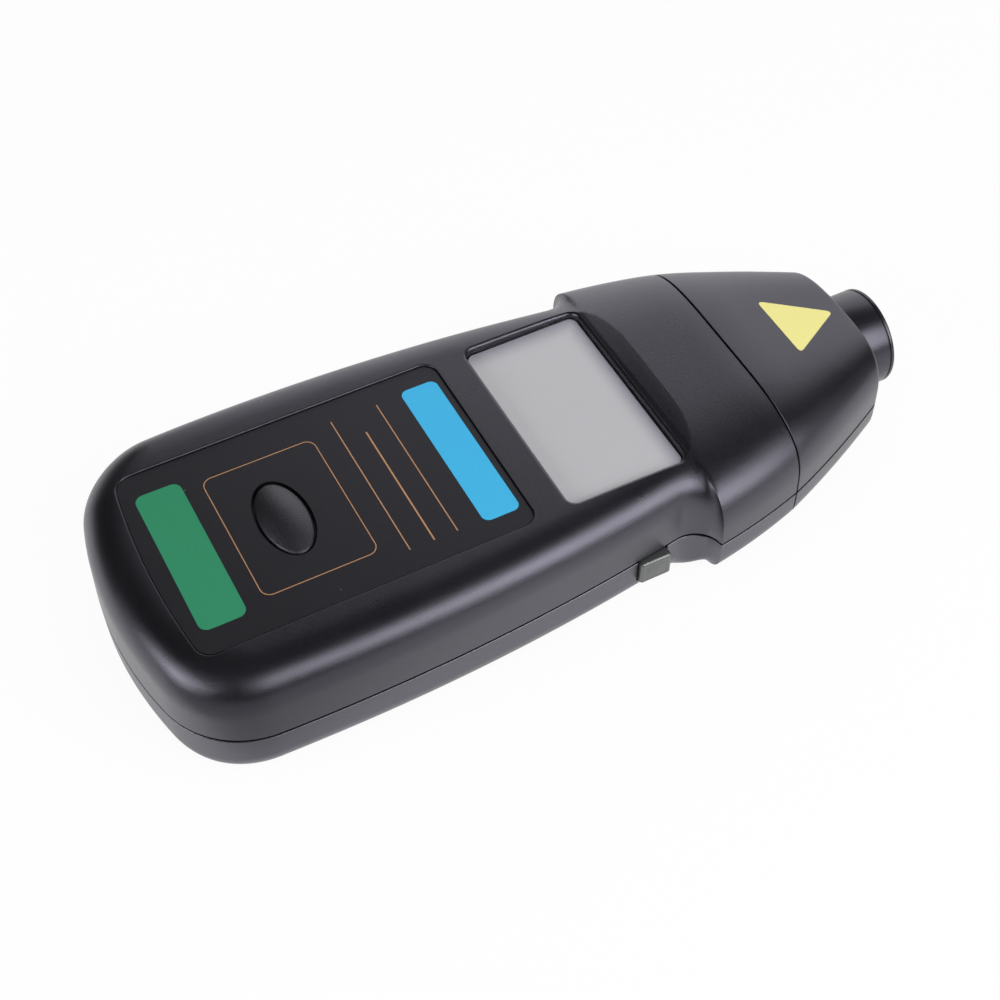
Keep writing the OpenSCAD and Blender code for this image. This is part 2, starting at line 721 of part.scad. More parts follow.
// The lens tube: a shouldered barrel with a groove for the nose ribs and a fine groove near its mouth
module lens_tube() {
    chamfer = 0.4;
    color("#232327") translate([0, 0, parting_h]) rotate([0, 90, 0]) rotate_extrude() polygon([
        [tube_bore, tube_back], [tube_in_r, tube_back],
        [tube_in_r, rib_x - fit], [tube_in_r - rib_bite, rib_x - fit],
        [tube_in_r - rib_bite, rib_x + rib_t + fit], [tube_in_r, rib_x + rib_t + fit],
        [tube_in_r, tube_stop], [tube_r, tube_stop],
        [tube_r, tube_groove_x - tube_groove], [tube_r - tube_groove, tube_groove_x - tube_groove],
        [tube_r - tube_groove, tube_groove_x], [tube_r, tube_groove_x],
        [tube_r, tube_x - chamfer], [tube_r - chamfer, tube_x], [tube_bore, tube_x],
        [tube_bore, lens_x], [tube_bore - 1, lens_x - 1], [tube_bore - 1, lens_x - 3], [tube_bore, lens_x - 4]]);
}

// The lens: flat behind, domed in front, with a hole for the laser barrel
module front_lens() {
    hole_r = laser_r + fit;
    steps = 10;
    dome = [for (k = [0 : steps]) let (r = mix(lens_r, hole_r, k / steps))
        [r, lens_x + lens_t + lens_bulge - lens_dome + sqrt(lens_dome * lens_dome - r * r)]];
    color("#dfe6ea", 0.5) translate([0, 0, parting_h]) rotate([0, 90, 0]) rotate_extrude()
        polygon(concat([[hole_r, lens_x], [lens_r, lens_x]], dome));
}

module laser_module() {
    x1 = lens_x + lens_t + lens_bulge;
    aperture = laser_r / 2.4;
    color("#b08d4a") difference() {
        axle(laser_r, x1 - laser_l, x1);
        axle(aperture, x1 - 3, x1 + 1);
    }
}

module sensor_board() {
    color("#2f6b3c") axle(tube_in_r, tube_back - board_t, tube_back);
}

module photo_diode() {
    color("#4a4d55") union() {
        axle(2.7, tube_back, tube_back + 0.6);
        axle(2.3, tube_back, tube_back + 3);
    }
}

// The flat lead from the sensor board back to the main board
module sensor_ribbon() {
    x1 = tube_back - board_t;
    x0 = board_x1 - 2;
    z1 = parting_h + 2;
    z0 = board_z - board_t - ribbon_t;
    sag = [for (k = [0 : 8]) let (s = k / 8) [mix(x1, x0, s), mix(z1, z0, smooth(s))]];
    color("#9a9ca0") translate([0, ribbon_w / 2, 0]) rotate([90, 0, 0]) linear_extrude(ribbon_w)
        polygon(concat(sag, [for (k = [len(sag) - 1 : -1 : 0]) sag[k] + [0, ribbon_t]]));
}

module battery() {
    post_y = 6.35;
    color("#7d7f86") union() {
        block(bay_x, bay_x + battery_l, -battery_w / 2, battery_w / 2, bay_z, bay_z + battery_t);
        both_sides() translate([bay_x + battery_l, post_y, bay_z + battery_t / 2]) rotate([0, 90, 0])
            cylinder(r = 2.9, h = terminal_h);
    }
}

module battery_snap() {
    zc = bay_z + battery_t / 2;
    color("#1f1f21") difference() {
        block(snap_x, snap_x + snap_t, -battery_w / 2 + 0.5, battery_w / 2 - 0.5, zc - snap_w / 2, zc + snap_w / 2);
        both_sides() translate([snap_x - 1, 6.35, zc]) rotate([0, 90, 0]) cylinder(r = 2.95, h = terminal_h + 1.1);
    }
}

// A round lead swept along a route of points
module lead(route, r) {
    sides = 8;
    last = len(route) - 1;
    dirs = [for (i = [0 : last]) route[min(i + 1, last)] - route[max(i - 1, 0)]];
    rings = [for (i = [0 : last]) let (d = dirs[i] / norm(dirs[i]), a = cross(d, [0, 1, 0]), u = a / norm(a),
        v = cross(d, u)) for (k = [0 : sides - 1]) route[i] + r * (u * cos(45 * k) + v * sin(45 * k))];
    walls = [for (i = [0 : last - 1]) for (k = [0 : sides - 1]) let (q = (k + 1) % sides)
        [i * sides + k, i * sides + q, (i + 1) * sides + q, (i + 1) * sides + k]];
    polyhedron(rings, concat(walls, [[for (k = [sides - 1 : -1 : 0]) k]],
        [[for (k = [0 : sides - 1]) last * sides + k]]));
}

// The two battery leads, from the snap over the bay wall to the main board
module battery_leads() {
    x0 = snap_x + snap_t;
    z0 = bay_z + battery_t / 2;
    z1 = board_z - board_t;
    rise = z1 - z0;
    reach = snap_t * 1.35;
    route = [[x0 + 0.2, lead_y, z0], [x0 + 0.5, lead_y, z0 + 0.1], [x0 + 0.75, lead_y, z0 + rise * 0.13],
        [x0 + 1, lead_y, z0 + rise * 0.32], [x0 + reach * 0.33, lead_y + 0.1, z0 + rise * 0.52],
        [x0 + reach * 0.63, lead_y + 0.3, z0 + rise * 0.62], [x0 + reach * 0.87, lead_y + 0.5, z0 + rise * 0.73],
        [x0 + reach * 0.97, lead_y + 0.7, z0 + rise * 0.87], [x0 + reach, lead_y + 0.8, z1 - 0.25]];
    color("#a8322c") lead(route, lead_r);
    color("#1d1d1f") lead([for (p = route) [p[0], -p[1], p[2]]], lead_r);
}

module screw(r, head_r, z0, head_h, tip) {
    post(0, 0, head_r, z0 - head_h, z0);
    post(0, 0, r, z0, tip);
}

module case_screws() {
    color("#a9acb1") both_sides() {
        at_case_screws() screw(screw_r, screw_head_r, seat_h, screw_head_h, parting_h + screw_bite);
        translate([nose_screw[0], nose_screw[1], 0])
            screw(screw_r, screw_head_r, seat_h, screw_head_h, parting_h + screw_bite);
    }
}

module board_screws() {
    z0 = board_z - board_t;
    color("#a9acb1") at_board_screws() screw(screw_r - 0.3, screw_head_r - 0.4, z0, board_head_h, z0 + board_t + board_bite);
}

front_case();
rear_case();
nose_upper();
nose_lower();
face_label();
display_window();
lcd_panel();
lcd_contacts();
main_board();
processor_chip();
crystal_can();
memory_button();
memory_plunger();
memory_switch();
test_button();
test_plunger();
test_switch();
switch_board();
lens_tube();
front_lens();
laser_module();
sensor_board();
photo_diode();
sensor_ribbon();
battery();
battery_snap();
battery_leads();
battery_door();
case_screws();
board_screws();
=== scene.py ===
# Laser tachometer: the looks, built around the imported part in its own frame.
import json
import math
import bmesh
import bpy
from mathutils import Matrix, Vector
from mathutils.bvhtree import BVHTree

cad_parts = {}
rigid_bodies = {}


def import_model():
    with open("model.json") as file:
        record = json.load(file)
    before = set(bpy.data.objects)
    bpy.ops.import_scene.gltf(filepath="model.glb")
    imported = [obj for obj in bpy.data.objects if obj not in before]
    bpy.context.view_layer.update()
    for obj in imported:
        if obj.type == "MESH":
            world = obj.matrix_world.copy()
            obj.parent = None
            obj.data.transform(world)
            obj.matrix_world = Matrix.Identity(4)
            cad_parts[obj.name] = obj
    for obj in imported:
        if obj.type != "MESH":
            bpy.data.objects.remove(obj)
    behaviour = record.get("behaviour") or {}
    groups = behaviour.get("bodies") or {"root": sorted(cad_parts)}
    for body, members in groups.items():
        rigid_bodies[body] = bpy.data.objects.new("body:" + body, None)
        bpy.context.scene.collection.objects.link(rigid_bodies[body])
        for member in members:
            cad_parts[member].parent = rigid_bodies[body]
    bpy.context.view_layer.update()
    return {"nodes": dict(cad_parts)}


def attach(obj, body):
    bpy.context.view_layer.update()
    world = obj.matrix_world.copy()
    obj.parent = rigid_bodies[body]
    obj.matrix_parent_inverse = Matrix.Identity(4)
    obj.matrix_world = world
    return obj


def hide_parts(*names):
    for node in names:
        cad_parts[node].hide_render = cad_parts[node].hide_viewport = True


for unused in list(bpy.data.objects):
    bpy.data.objects.remove(unused)
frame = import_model()
MM = 0.001
SHARP_ANGLE = 32

# Sizes of the housing in millimetres, as in the part's source
TAIL_X, STEP_X, SEAM_X, FRONT_X, TUBE_X = -92.5, 30.0, 52.0, 84.0, 92.5
BELLY_X = TAIL_X + 40
HEAD_L = SEAM_X - STEP_X
NOSE_L = FRONT_X - SEAM_X
GRIP_W, WAIST_W, HEAD_W, SEAM_W, NOSE_W = 75.4, 63.4, 75.2, 65.6, 38.0
COVE_R, TAIL_R, CORNER_R = 6.6, 86.0, 20.0
PARTING_H, GRIP_H, HEAD_H, NOSE_H = 12.7, 29.2, 30.0, 25.4
NOSE_RISE = 0.3
EDGE_W, EDGE_H, REAR_EDGE, COVE_EDGE = 10.0, 9.0, 7.0, 0.5
EDGE_SQUARE, HEAD_SQUARE, SEAM_SQUARE, NOSE_SQUARE = 2.5, 3.1, 3.0, 3.2
REAR_SQUARE, UNDER_SQUARE, UNDER_FRONT = 2.0, 3.6, 2.6
WALL, DRAFT, CROWN_FLAT, HEAD_WALL = 2.2, 0.02, 6.0, 2.0
KNEE_L, NOSE_BOW_R, NOSE_CORE = 14.0, 100.0, 0.3
KNEE_X = SEAM_X - 6
NOSE_SLOPE = (HEAD_H - NOSE_H) / (FRONT_X - KNEE_X - KNEE_L / 2)
NOSE_ROUND = 0.7

# How far the spine leads where the tail, the corner and the side end
LEAD_TAIL, LEAD_CORNER, LEAD_SIDE = 2.5, 6, 10
# The edges of the tail's corners: the lead there, its reach, and the change above and below
CORNER_LEAD, CORNER_REACH, CORNER_ABOVE, CORNER_UNDER = 3.9, 2.6, 0.22, 0.2

# Where the crease at the head's step fades out: share of the climb, rows to each side and reach in rows
CREASE_FROM, CREASE_OVER, CREASE_ROWS, CREASE_REACH = 0.42, 0.3, 12, 9

# Sizes of the face: window, label, oval button
WINDOW_L, WINDOW_W, WINDOW_R, WINDOW_X = 27.7, 49.0, 2.2, 14.15
WINDOW_LIP, PANE_Z, PANE_T = 0.8, 28.4, 1.0
FACET_X, FACET_SLOPE, FACET_RUN, FACET_DROP, FACET_TALL = 27.4, 0.22, 12, 0.5, 6
LABEL_L, LABEL_W, LABEL_R, LABEL_BOW, LABEL_X0 = 75.4, 50.4, 3.3, 2.0, -82.6
LABEL_C = LABEL_X0 + LABEL_L / 2
LABEL_Z, LABEL_T, LABEL_LIP, LABEL_CRISP = GRIP_H - 0.4, 0.35, 0.35, 0.25
KEY_C, KEY_L, KEY_W, KEY_GAP = -52.9, 10.5, 20.0, 0.55
KEY_SEAT_Z, KEY_FLANGE_Z, KEY_RISE, KEY_TOP = 26.35, 25.7, 1.9, 30.5
KEY_FLANGE_T, KEY_FLANGE_LAP, SWITCH_ROOM = 1.2, 1.2, 6.8
CUT_Z0, CUT_Z1 = 20, 40

# The print: its thickness above and below the sheet's top, and the rules with x, y from and to, and width
INK, INK_SINK = 0.03, 0.02
RULES = ((-33.75, -19.5, 19.45, 0.24), (-28.3, -19.5, 13.35, 0.34), (-23.1, -19.55, 19.35, 0.24))

# Sizes of the side button, the tube, the battery door and the screws
SIDE_KEY_C, SIDE_KEY_L, SIDE_KEY_OUT = 15.9, 7.5, 1.8
SIDE_KEY_Z0, SIDE_KEY_Z1 = 6.25, 12.55
TUBE_R, TUBE_IN_R, TUBE_BORE, TUBE_BACK, TUBE_STOP = 11.3, 10.9, 9.4, 56.0, 84.2
RIB_X, RIB_T, RIB_BITE = 61.0, 1.6, 0.5
GROOVE_X, GROOVE_W = 91.3, 0.3
LENS_X, LENS_T, LENS_BULGE, LASER_HOLE = 86.9, 3.0, 1.6, 3.3
DOOR_X, DOOR_W, DOOR_GAP, DOOR_LIP, DOOR_RISE = -31.5, 30.0, 0.2, 1.2, 5.0
BAY_X = TAIL_X + WALL + 5
BAY_WALL, BAY_FOOT = 1.4, 1.2
INNER_RIM = PARTING_H - 0.3
SCREW_HOLE_R, SCREW_SEAT, BOSS_R = 2.75, 5.0, 3.6
TAIL_SCREW = (TAIL_X + 17, 28.4)
HEAD_SCREW = (STEP_X + 12, 24.0)
NOSE_SCREW = (SEAM_X + 8.5, 20.0)

# The narrow slots where two mouldings meet
SLOT_HALF, PART_HALF, SLOT_DEEP, SLOT_BREAK, STEEP = 0.2, 0.32, 0.9, 0.12, 0.004

# Steps of the curved surfaces
TAIL_N, CORNER_N, SIDE_N, COVE_N, HEAD_N, NOSE_N, EDGE_N = 18, 34, 44, 30, 26, 34, 22


# Plain helpers
def mix(a, b, t):
    return a + (b - a) * t


def smooth(t):
    return t * t * (3 - 2 * t)


def bearing(x, y):
    return math.degrees(math.atan2(y, x))


def meeting(a, ra, b, rb):
    """Where two circles meet, on the side the grip's corner lies."""
    dx, dy = b[0] - a[0], b[1] - a[1]
    d = math.hypot(dx, dy)
    ux, uy = dx / d, dy / d
    s = (ra * ra - rb * rb + d * d) / (2 * d)
    h = math.sqrt(ra * ra - s * s)
    return (a[0] + s * ux + h * uy, a[1] + s * uy - h * ux)


# The plan outline of grip, coves and head
COVE_Y = WAIST_W / 2 + COVE_R
COVE_C = (STEP_X - math.sqrt(COVE_R ** 2 - (COVE_Y - HEAD_W / 2) ** 2), COVE_Y)
SIDE_RUN = COVE_C[0] - BELLY_X
SIDE_OFF = COVE_Y - GRIP_W / 2
SIDE_R = (SIDE_RUN ** 2 + SIDE_OFF ** 2 - COVE_R ** 2) / (2 * (COVE_R - SIDE_OFF))
SIDE_C = (BELLY_X, GRIP_W / 2 - SIDE_R)
TAIL_C = (TAIL_X + TAIL_R, 0.0)
CORNER_C = meeting(TAIL_C, TAIL_R - CORNER_R, SIDE_C, SIDE_R - CORNER_R)
TAIL_END = bearing(CORNER_C[0] - TAIL_C[0], CORNER_C[1] - TAIL_C[1])
CORNER_END = bearing(CORNER_C[0] - SIDE_C[0], CORNER_C[1] - SIDE_C[1])
SIDE_END = bearing(COVE_C[0] - SIDE_C[0], COVE_C[1] - SIDE_C[1])
COVE_END = bearing(STEP_X - COVE_C[0], HEAD_W / 2 - COVE_C[1])


def side_half(x):
    return SIDE_C[1] + math.sqrt(SIDE_R ** 2 - (x - BELLY_X) ** 2)


def head_half(x):
    a = HEAD_W / 2 * (x - SEAM_X) * (x - FRONT_X) / ((STEP_X - SEAM_X) * (STEP_X - FRONT_X))
    b = SEAM_W / 2 * (x - STEP_X) * (x - FRONT_X) / ((SEAM_X - STEP_X) * (SEAM_X - FRONT_X))
    c = NOSE_W / 2 * (x - STEP_X) * (x - SEAM_X) / ((FRONT_X - STEP_X) * (FRONT_X - SEAM_X))
    return a + b + c


def head_top(x):
    u = x - KNEE_X
    drop = 0 if u < 0 else u * u / (2 * KNEE_L) if u < KNEE_L else u - KNEE_L / 2
    return HEAD_H - NOSE_SLOPE * drop


def nose_share(x):
    return max(0.0, (x - SEAM_X) / NOSE_L)


def section_square(x, up):
    if up < 0:
        return mix(UNDER_SQUARE, UNDER_FRONT, max(0.0, (x - STEP_X) / (FRONT_X - STEP_X)))
    if x > SEAM_X:
        return mix(SEAM_SQUARE, NOSE_SQUARE, nose_share(x))
    return mix(HEAD_SQUARE, SEAM_SQUARE, max(0.0, (x - STEP_X) / HEAD_L))


def case_stations():
    """Places round the plan: x, y, inward direction, share of the head's section, slot depth, spine lead."""
    rows = []

    def arc(centre, radius, a0, a1, steps, lead0, lead1):
        for k in range(steps):
            a = math.radians(mix(a0, a1, k / steps))
            rows.append((centre[0] + radius * math.cos(a), centre[1] + radius * math.sin(a),
                         -math.cos(a), -math.sin(a), 0.0, 0.0, mix(lead0, lead1, k / steps)))

    arc(TAIL_C, TAIL_R, 180, TAIL_END, TAIL_N, 0, LEAD_TAIL)
    arc(CORNER_C, CORNER_R, TAIL_END, CORNER_END, CORNER_N, LEAD_TAIL, LEAD_CORNER)
    arc(SIDE_C, SIDE_R, CORNER_END, SIDE_END, SIDE_N, LEAD_CORNER, LEAD_SIDE)
    for k in range(COVE_N + 1):
        a = math.radians(mix(SIDE_END - 180, COVE_END, k / COVE_N))
        rows.append((COVE_C[0] + COVE_R * math.cos(a), COVE_Y + COVE_R * math.sin(a),
                     0.0, -1.0, k / COVE_N, 0.0, LEAD_SIDE))
    slot = SEAM_X - SLOT_HALF
    for k in range(1, HEAD_N + 1):
        x = mix(STEP_X, slot - SLOT_BREAK, k / HEAD_N)
        rows.append((x, head_half(x), 0.0, -1.0, 1.0, 0.0, LEAD_SIDE))
    for x, deep in ((slot, SLOT_BREAK), (slot + STEEP, SLOT_DEEP), (SEAM_X, SLOT_DEEP)):
        rows.append((x, head_half(x), 0.0, -1.0, 1.0, deep, LEAD_SIDE))
    return rows


def rib_profile(h, ew, eh, square, outer):
    """Inset and height of one rib: the slot at the parting plane, the wall and the rounded edge."""
    lip = PART_HALF + SLOT_BREAK
    if outer:
        points = [(SLOT_DEEP, 0), (SLOT_DEEP, PART_HALF), (SLOT_BREAK, PART_HALF + STEEP), (0, lip)]
    else:
        points = [(0, 0), (0, 0.1), (0, 0.2), (0, 0.3)]
    for k in range(EDGE_N + 1):
        a = math.pi / 2 * k / EDGE_N
        run = 1 - max(0.0, math.cos(a)) ** (2 / square)
        rise = math.sin(a) ** (2 / square)
        points.append((DRAFT * (h - eh) + ew * run, h - eh + eh * rise))
    return points


def cross_row(x, y, dx, dy, profile, spine_x, h, up):
    """One row of points from the rim on the near side over the spine to the far rim."""
    side = [(x + q * dx, y + q * dy, PARTING_H + up * z) for q, z in profile]
    near = [(px, -py, pz) for px, py, pz in side]
    return near + [(spine_x, 0.0, PARTING_H + up * h)] + side[::-1]


def case_row(station, up, inset):
    x, y, dx, dy, share, deep, lead = station
    blend = smooth(share) if up > 0 else smooth(share) ** 2
    square = mix(EDGE_SQUARE if up > 0 else REAR_SQUARE, section_square(x, up), blend)
    run = 0 if share == 0 else share if share < 1 else (SEAM_X - x) / HEAD_L
    cut = deep if inset == 0 else 0
    px = x + inset * (dx + run)
    py = y + inset * dy - cut
    full = mix(GRIP_H, head_top(x), smooth(share)) - PARTING_H if up > 0 else PARTING_H
    h = full - inset - cut
    corner = smooth(max(0.0, 1 - abs(lead - CORNER_LEAD) / CORNER_REACH))
    cove = 1 - (1 - COVE_EDGE) * math.sin(math.pi * share)
    under = REAR_EDGE * cove * (1 - CORNER_UNDER * corner)
    above = 1 + CORNER_ABOVE * corner
    ew = mix((EDGE_W * above if up > 0 else under) - inset, py - CROWN_FLAT, blend)
    eh = mix((EDGE_H * above if up > 0 else under) - inset, h - HEAD_WALL, blend)
    profile = rib_profile(h, ew, eh, square, inset == 0)
    spine_x = max(px + profile[-1][0] * dx, TAIL_X + inset + EDGE_W + 1 + lead)
    return cross_row(px, py, dx, dy, profile, spine_x, h, up)


def nose_places():
    """Rows along the nose: x and how far the section is drawn in there."""
    slot = SEAM_X + SLOT_HALF
    rows = [(SEAM_X, SLOT_DEEP), (slot - STEEP, SLOT_DEEP), (slot, SLOT_BREAK)]
    for k in range(NOSE_N + 1):
        rows.append((mix(slot + SLOT_BREAK, FRONT_X - NOSE_ROUND, k / NOSE_N), 0.0))
    for k in range(1, 8):
        a = math.pi / 2 * k / 7
        rows.append((FRONT_X - NOSE_ROUND * (1 - math.sin(a)), NOSE_ROUND * (1 - math.cos(a))))
    return rows


def nose_row(x, cut, up, inset, core):
    drawn = cut if inset == 0 else 0
    half = head_half(x) - inset - drawn
    full = head_top(x) - PARTING_H if up > 0 else PARTING_H - NOSE_RISE * nose_share(x)
    h = full - inset - drawn
    flat = min(CROWN_FLAT, half / 4)
    profile = rib_profile(h, half - flat, h - HEAD_WALL, section_square(x, up),
                          inset == 0 and not core)
    points = []
    for px, py, pz in cross_row(x, half, 0.0, -1.0, profile, x, h, up):
        if core:
            py, pz = py * NOSE_CORE, mix(PARTING_H, pz, NOSE_CORE)
        points.append((px - nose_share(x) * py * py / (2 * NOSE_BOW_R), py, pz))
    return points


# Mesh helpers: pieces are built in millimetres and turned into metres when they are finished
def raw_piece(name, points, faces, tidy=True):
    mesh = bpy.data.meshes.new(name)
    mesh.from_pydata([tuple(p) for p in points], [], faces)
    if tidy:
        work = bmesh.new()
        work.from_mesh(mesh)
        bmesh.ops.remove_doubles(work, verts=work.verts, dist=0.0008)
        bmesh.ops.dissolve_degenerate(work, edges=work.edges, dist=0.0004)
        bmesh.ops.recalc_face_normals(work, faces=work.faces)
        work.to_mesh(mesh)
        work.free()
    piece = bpy.data.objects.new(name, mesh)
    bpy.context.scene.collection.objects.link(piece)
    return piece


def plain_mesh(piece):
    """Turns the piece's modifiers into plain mesh."""
    graph = bpy.context.evaluated_depsgraph_get()
    mesh = bpy.data.meshes.new_from_object(piece.evaluated_get(graph))
    old = piece.data
    piece.modifiers.clear()
    piece.data = mesh
    mesh.name = piece.name
    if old.users == 0:
        bpy.data.meshes.remove(old)


def carve(piece, cutters, operation="DIFFERENCE"):
    for cutter in cutters:
        step = piece.modifiers.new("carve", "BOOLEAN")
        step.object = cutter
        step.operation = operation
        step.solver = "EXACT"
        plain_mesh(piece)
        bpy.data.objects.remove(cutter)


def join_into(piece, others):
    """Adds other raw pieces to this one's mesh."""
    work = bmesh.new()
    work.from_mesh(piece.data)
    for other in others:
        work.from_mesh(other.data)
        bpy.data.objects.remove(other)
    work.to_mesh(piece.data)
    work.free()


def finish_piece(piece, material, body, replaced=()):
    mesh = piece.data
    mesh.transform(Matrix.Scale(MM, 4))
    mesh.materials.clear()
    mesh.materials.append(material)
    mesh.shade_smooth()
    mesh.set_sharp_from_angle(angle=math.radians(SHARP_ANGLE))
    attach(piece, body)
    if replaced:
        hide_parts(*replaced)
    return piece


def shell_faces(rows, cols, closed):
    """Faces of a thick shell between an outer and an inner grid of rows."""
    count = (rows + 1) * (cols + 1)

    def o(i, m):
        return min(m, cols - m) if closed and i == 0 else i * (cols + 1) + m

    def n(i, m):
        return count + o(i, m)

    faces = []

    def quad(*ids):
        ring = []
        for v in ids:
            if v not in ring:
                ring.append(v)
        if len(ring) > 2:
            faces.append(ring)

    for i in range(rows):
        for m in range(cols):
            quad(o(i, m), o(i, m + 1), o(i + 1, m + 1), o(i + 1, m))
            quad(n(i, m), n(i + 1, m), n(i + 1, m + 1), n(i, m + 1))
        quad(o(i, 0), o(i + 1, 0), n(i + 1, 0), n(i, 0))
        quad(o(i + 1, cols), o(i, cols), n(i, cols), n(i + 1, cols))
    for m in range(cols):
        quad(o(rows, m), o(rows, m + 1), n(rows, m + 1), n(rows, m))
        if not closed:
            quad(o(0, m + 1), o(0, m), n(0, m), n(0, m + 1))
    return faces


def thick_shell(name, outer, inner, closed):
    points = [p for row in outer for p in row] + [p for row in inner for p in row]
    return raw_piece(name, points, shell_faces(len(outer) - 1, len(outer[0]) - 1, closed))


def faded_crease(rows, first, last, reach):
    """Lets the crease of the rows from first to last fade out from the wall up to the crown."""
    cols = len(rows[0])
    result = [list(row) for row in rows]
    for m in range(cols):
        climb = min(m, cols - 1 - m) / (cols // 2)
        weight = smooth(min(1.0, max(0.0, (climb - CREASE_FROM) / CREASE_OVER)))
        wide = round(reach * weight)
        for i in range(first, last + 1):
            if wide == 0:
                break
            near = [Vector(rows[i + j][m]) * (wide + 1 - abs(j)) for j in range(-wide, wide + 1)]
            result[i][m] = tuple(sum(near, Vector()) / (wide + 1) ** 2)
    return result


def case_shell(name, up):
    stations = case_stations()
    outer = [case_row(s, up, 0) for s in stations]
    if up > 0:
        step = TAIL_N + CORNER_N + SIDE_N + COVE_N
        outer = faded_crease(outer, step - CREASE_ROWS, step + CREASE_ROWS, CREASE_REACH)
    inner = [case_row(s, up, WALL) for s in stations]
    return thick_shell(name, outer, inner, True)


def nose_shell(name, up):
    places = nose_places()
    outer = [nose_row(x, cut, up, 0, False) for x, cut in places]
    outer.append(nose_row(FRONT_X, NOSE_ROUND, up, 0, True))
    last = len(places) - 1
    inner_x = [mix(SEAM_X, FRONT_X - WALL, k / last) for k in range(last + 1)]
    inner = [nose_row(x, 0, up, WALL, False) for x in inner_x]
    inner.append(nose_row(FRONT_X - WALL, 0, up, WALL, True))
    return thick_shell(name, outer, inner, False)


def round_rect(length, width, r, steps=10):
    points = []
    for cx, cy, a0 in ((length / 2 - r, width / 2 - r, 0), (r - length / 2, width / 2 - r, 90),
                       (r - length / 2, r - width / 2, 180), (length / 2 - r, r - width / 2, 270)):
        for k in range(steps + 1):
            a = math.radians(a0 + 90 * k / steps)
            points.append((cx + r * math.cos(a), cy + r * math.sin(a)))
    return points


def fine_loop(points, step):
    """The same closed outline with no side longer than the step."""
    result = []
    for k, p in enumerate(points):
        q = points[(k + 1) % len(points)]
        count = max(1, math.ceil(math.dist(p, q) / step))
        for j in range(count):
            result.append((mix(p[0], q[0], j / count), mix(p[1], q[1], j / count)))
    return result


def moved(points, dx, dy=0.0):
    return [(x + dx, y + dy) for x, y in points]


def oval(length, width, steps=96):
    angles = [2 * math.pi * k / steps for k in range(steps)]
    return [(length / 2 * math.cos(a), width / 2 * math.sin(a)) for a in angles]


def label_outline(inset):
    points = []
    for x, y in fine_loop(round_rect(LABEL_L - 2 * inset, LABEL_W - 2 * inset, LABEL_R - inset), 2.0):
        share = max(0.0, -x / LABEL_L * 2)
        points.append((x + LABEL_BOW * (2 * y / LABEL_W) ** 2 * share + LABEL_C, y))
    return points


def window_outline(inset):
    outline = round_rect(WINDOW_L - 2 * inset, WINDOW_W - 2 * inset, WINDOW_R - inset)
    return moved(fine_loop(outline, 1.5), WINDOW_X)


def ringed_solid(name, rings):
    """A closed solid through rings of equal length, capped at both ends."""
    count = len(rings[0])
    points = [p for ring in rings for p in ring]
    faces = []
    for i in range(len(rings) - 1):
        for k in range(count):
            j = (k + 1) % count
            faces.append([i * count + k, i * count + j, (i + 1) * count + j, (i + 1) * count + k])
    faces.append(list(range(count))[::-1])
    faces.append([(len(rings) - 1) * count + k for k in range(count)])
    return raw_piece(name, points, faces)


def looped_solid(name, rows):
    """A solid through closed rows of points, of which the last joins the first."""
    cols = len(rows[0])
    points = [p for row in rows for p in row]
    faces = []
    for i in range(len(rows)):
        j = (i + 1) % len(rows)
        for m in range(cols):
            n = (m + 1) % cols
            faces.append([i * cols + m, j * cols + m, j * cols + n, i * cols + n])
    return raw_piece(name, points, faces)


def prism(name, outline, z0, z1):
    return ringed_solid(name, [[(x, y, z) for x, y in outline] for z in (z0, z1)])


def block(name, x0, x1, y0, y1, z0, z1):
    return prism(name, [(x0, y0), (x1, y0), (x1, y1), (x0, y1)], z0, z1)


def post(name, x, y, r, z0, z1):
    return prism(name, moved(oval(2 * r, 2 * r, 48), x, y), z0, z1)


def rod(name, r, x0, x1):
    """A round bar along the optical axis."""
    ring = oval(2 * r, 2 * r, 128)
    return ringed_solid(name, [[(x, y, PARTING_H + z) for y, z in ring] for x in (x0, x1)])


def lathe(name, profile, steps=128):
    """Turns a closed profile of (radius, x) round the optical axis."""
    rows = []
    for k in range(steps):
        a = 2 * math.pi * k / steps
        rows.append([(x, r * math.cos(a), PARTING_H + r * math.sin(a)) for r, x in profile])
    return looped_solid(name, rows)


def rounded(corners, radius, steps=5):
    """A closed profile with each corner of a given radius rounded off."""
    points = []
    count = len(corners)
    for k, corner in enumerate(corners):
        p = Vector(corner[:2])
        r = corner[2] if len(corner) > 2 else radius
        a = Vector(corners[k - 1][:2]) - p
        b = Vector(corners[(k + 1) % count][:2]) - p
        reach = min(r, a.length * 0.45, b.length * 0.45)
        if reach < 0.01:
            points.append(tuple(p))
            continue
        start = p + a.normalized() * reach
        end = p + b.normalized() * reach
        for j in range(steps + 1):
            t = j / steps
            points.append(tuple(start * (1 - t) ** 2 + p * 2 * t * (1 - t) + end * t * t))
    return points


def surface_of(piece):
    work = bmesh.new()
    work.from_mesh(piece.data)
    tree = BVHTree.FromBMesh(work)
    work.free()
    return tree


def height_on(tree, x, y):
    hit = tree.ray_cast(Vector((x, y, 60)), Vector((0, 0, -1)))
    return hit[0].z


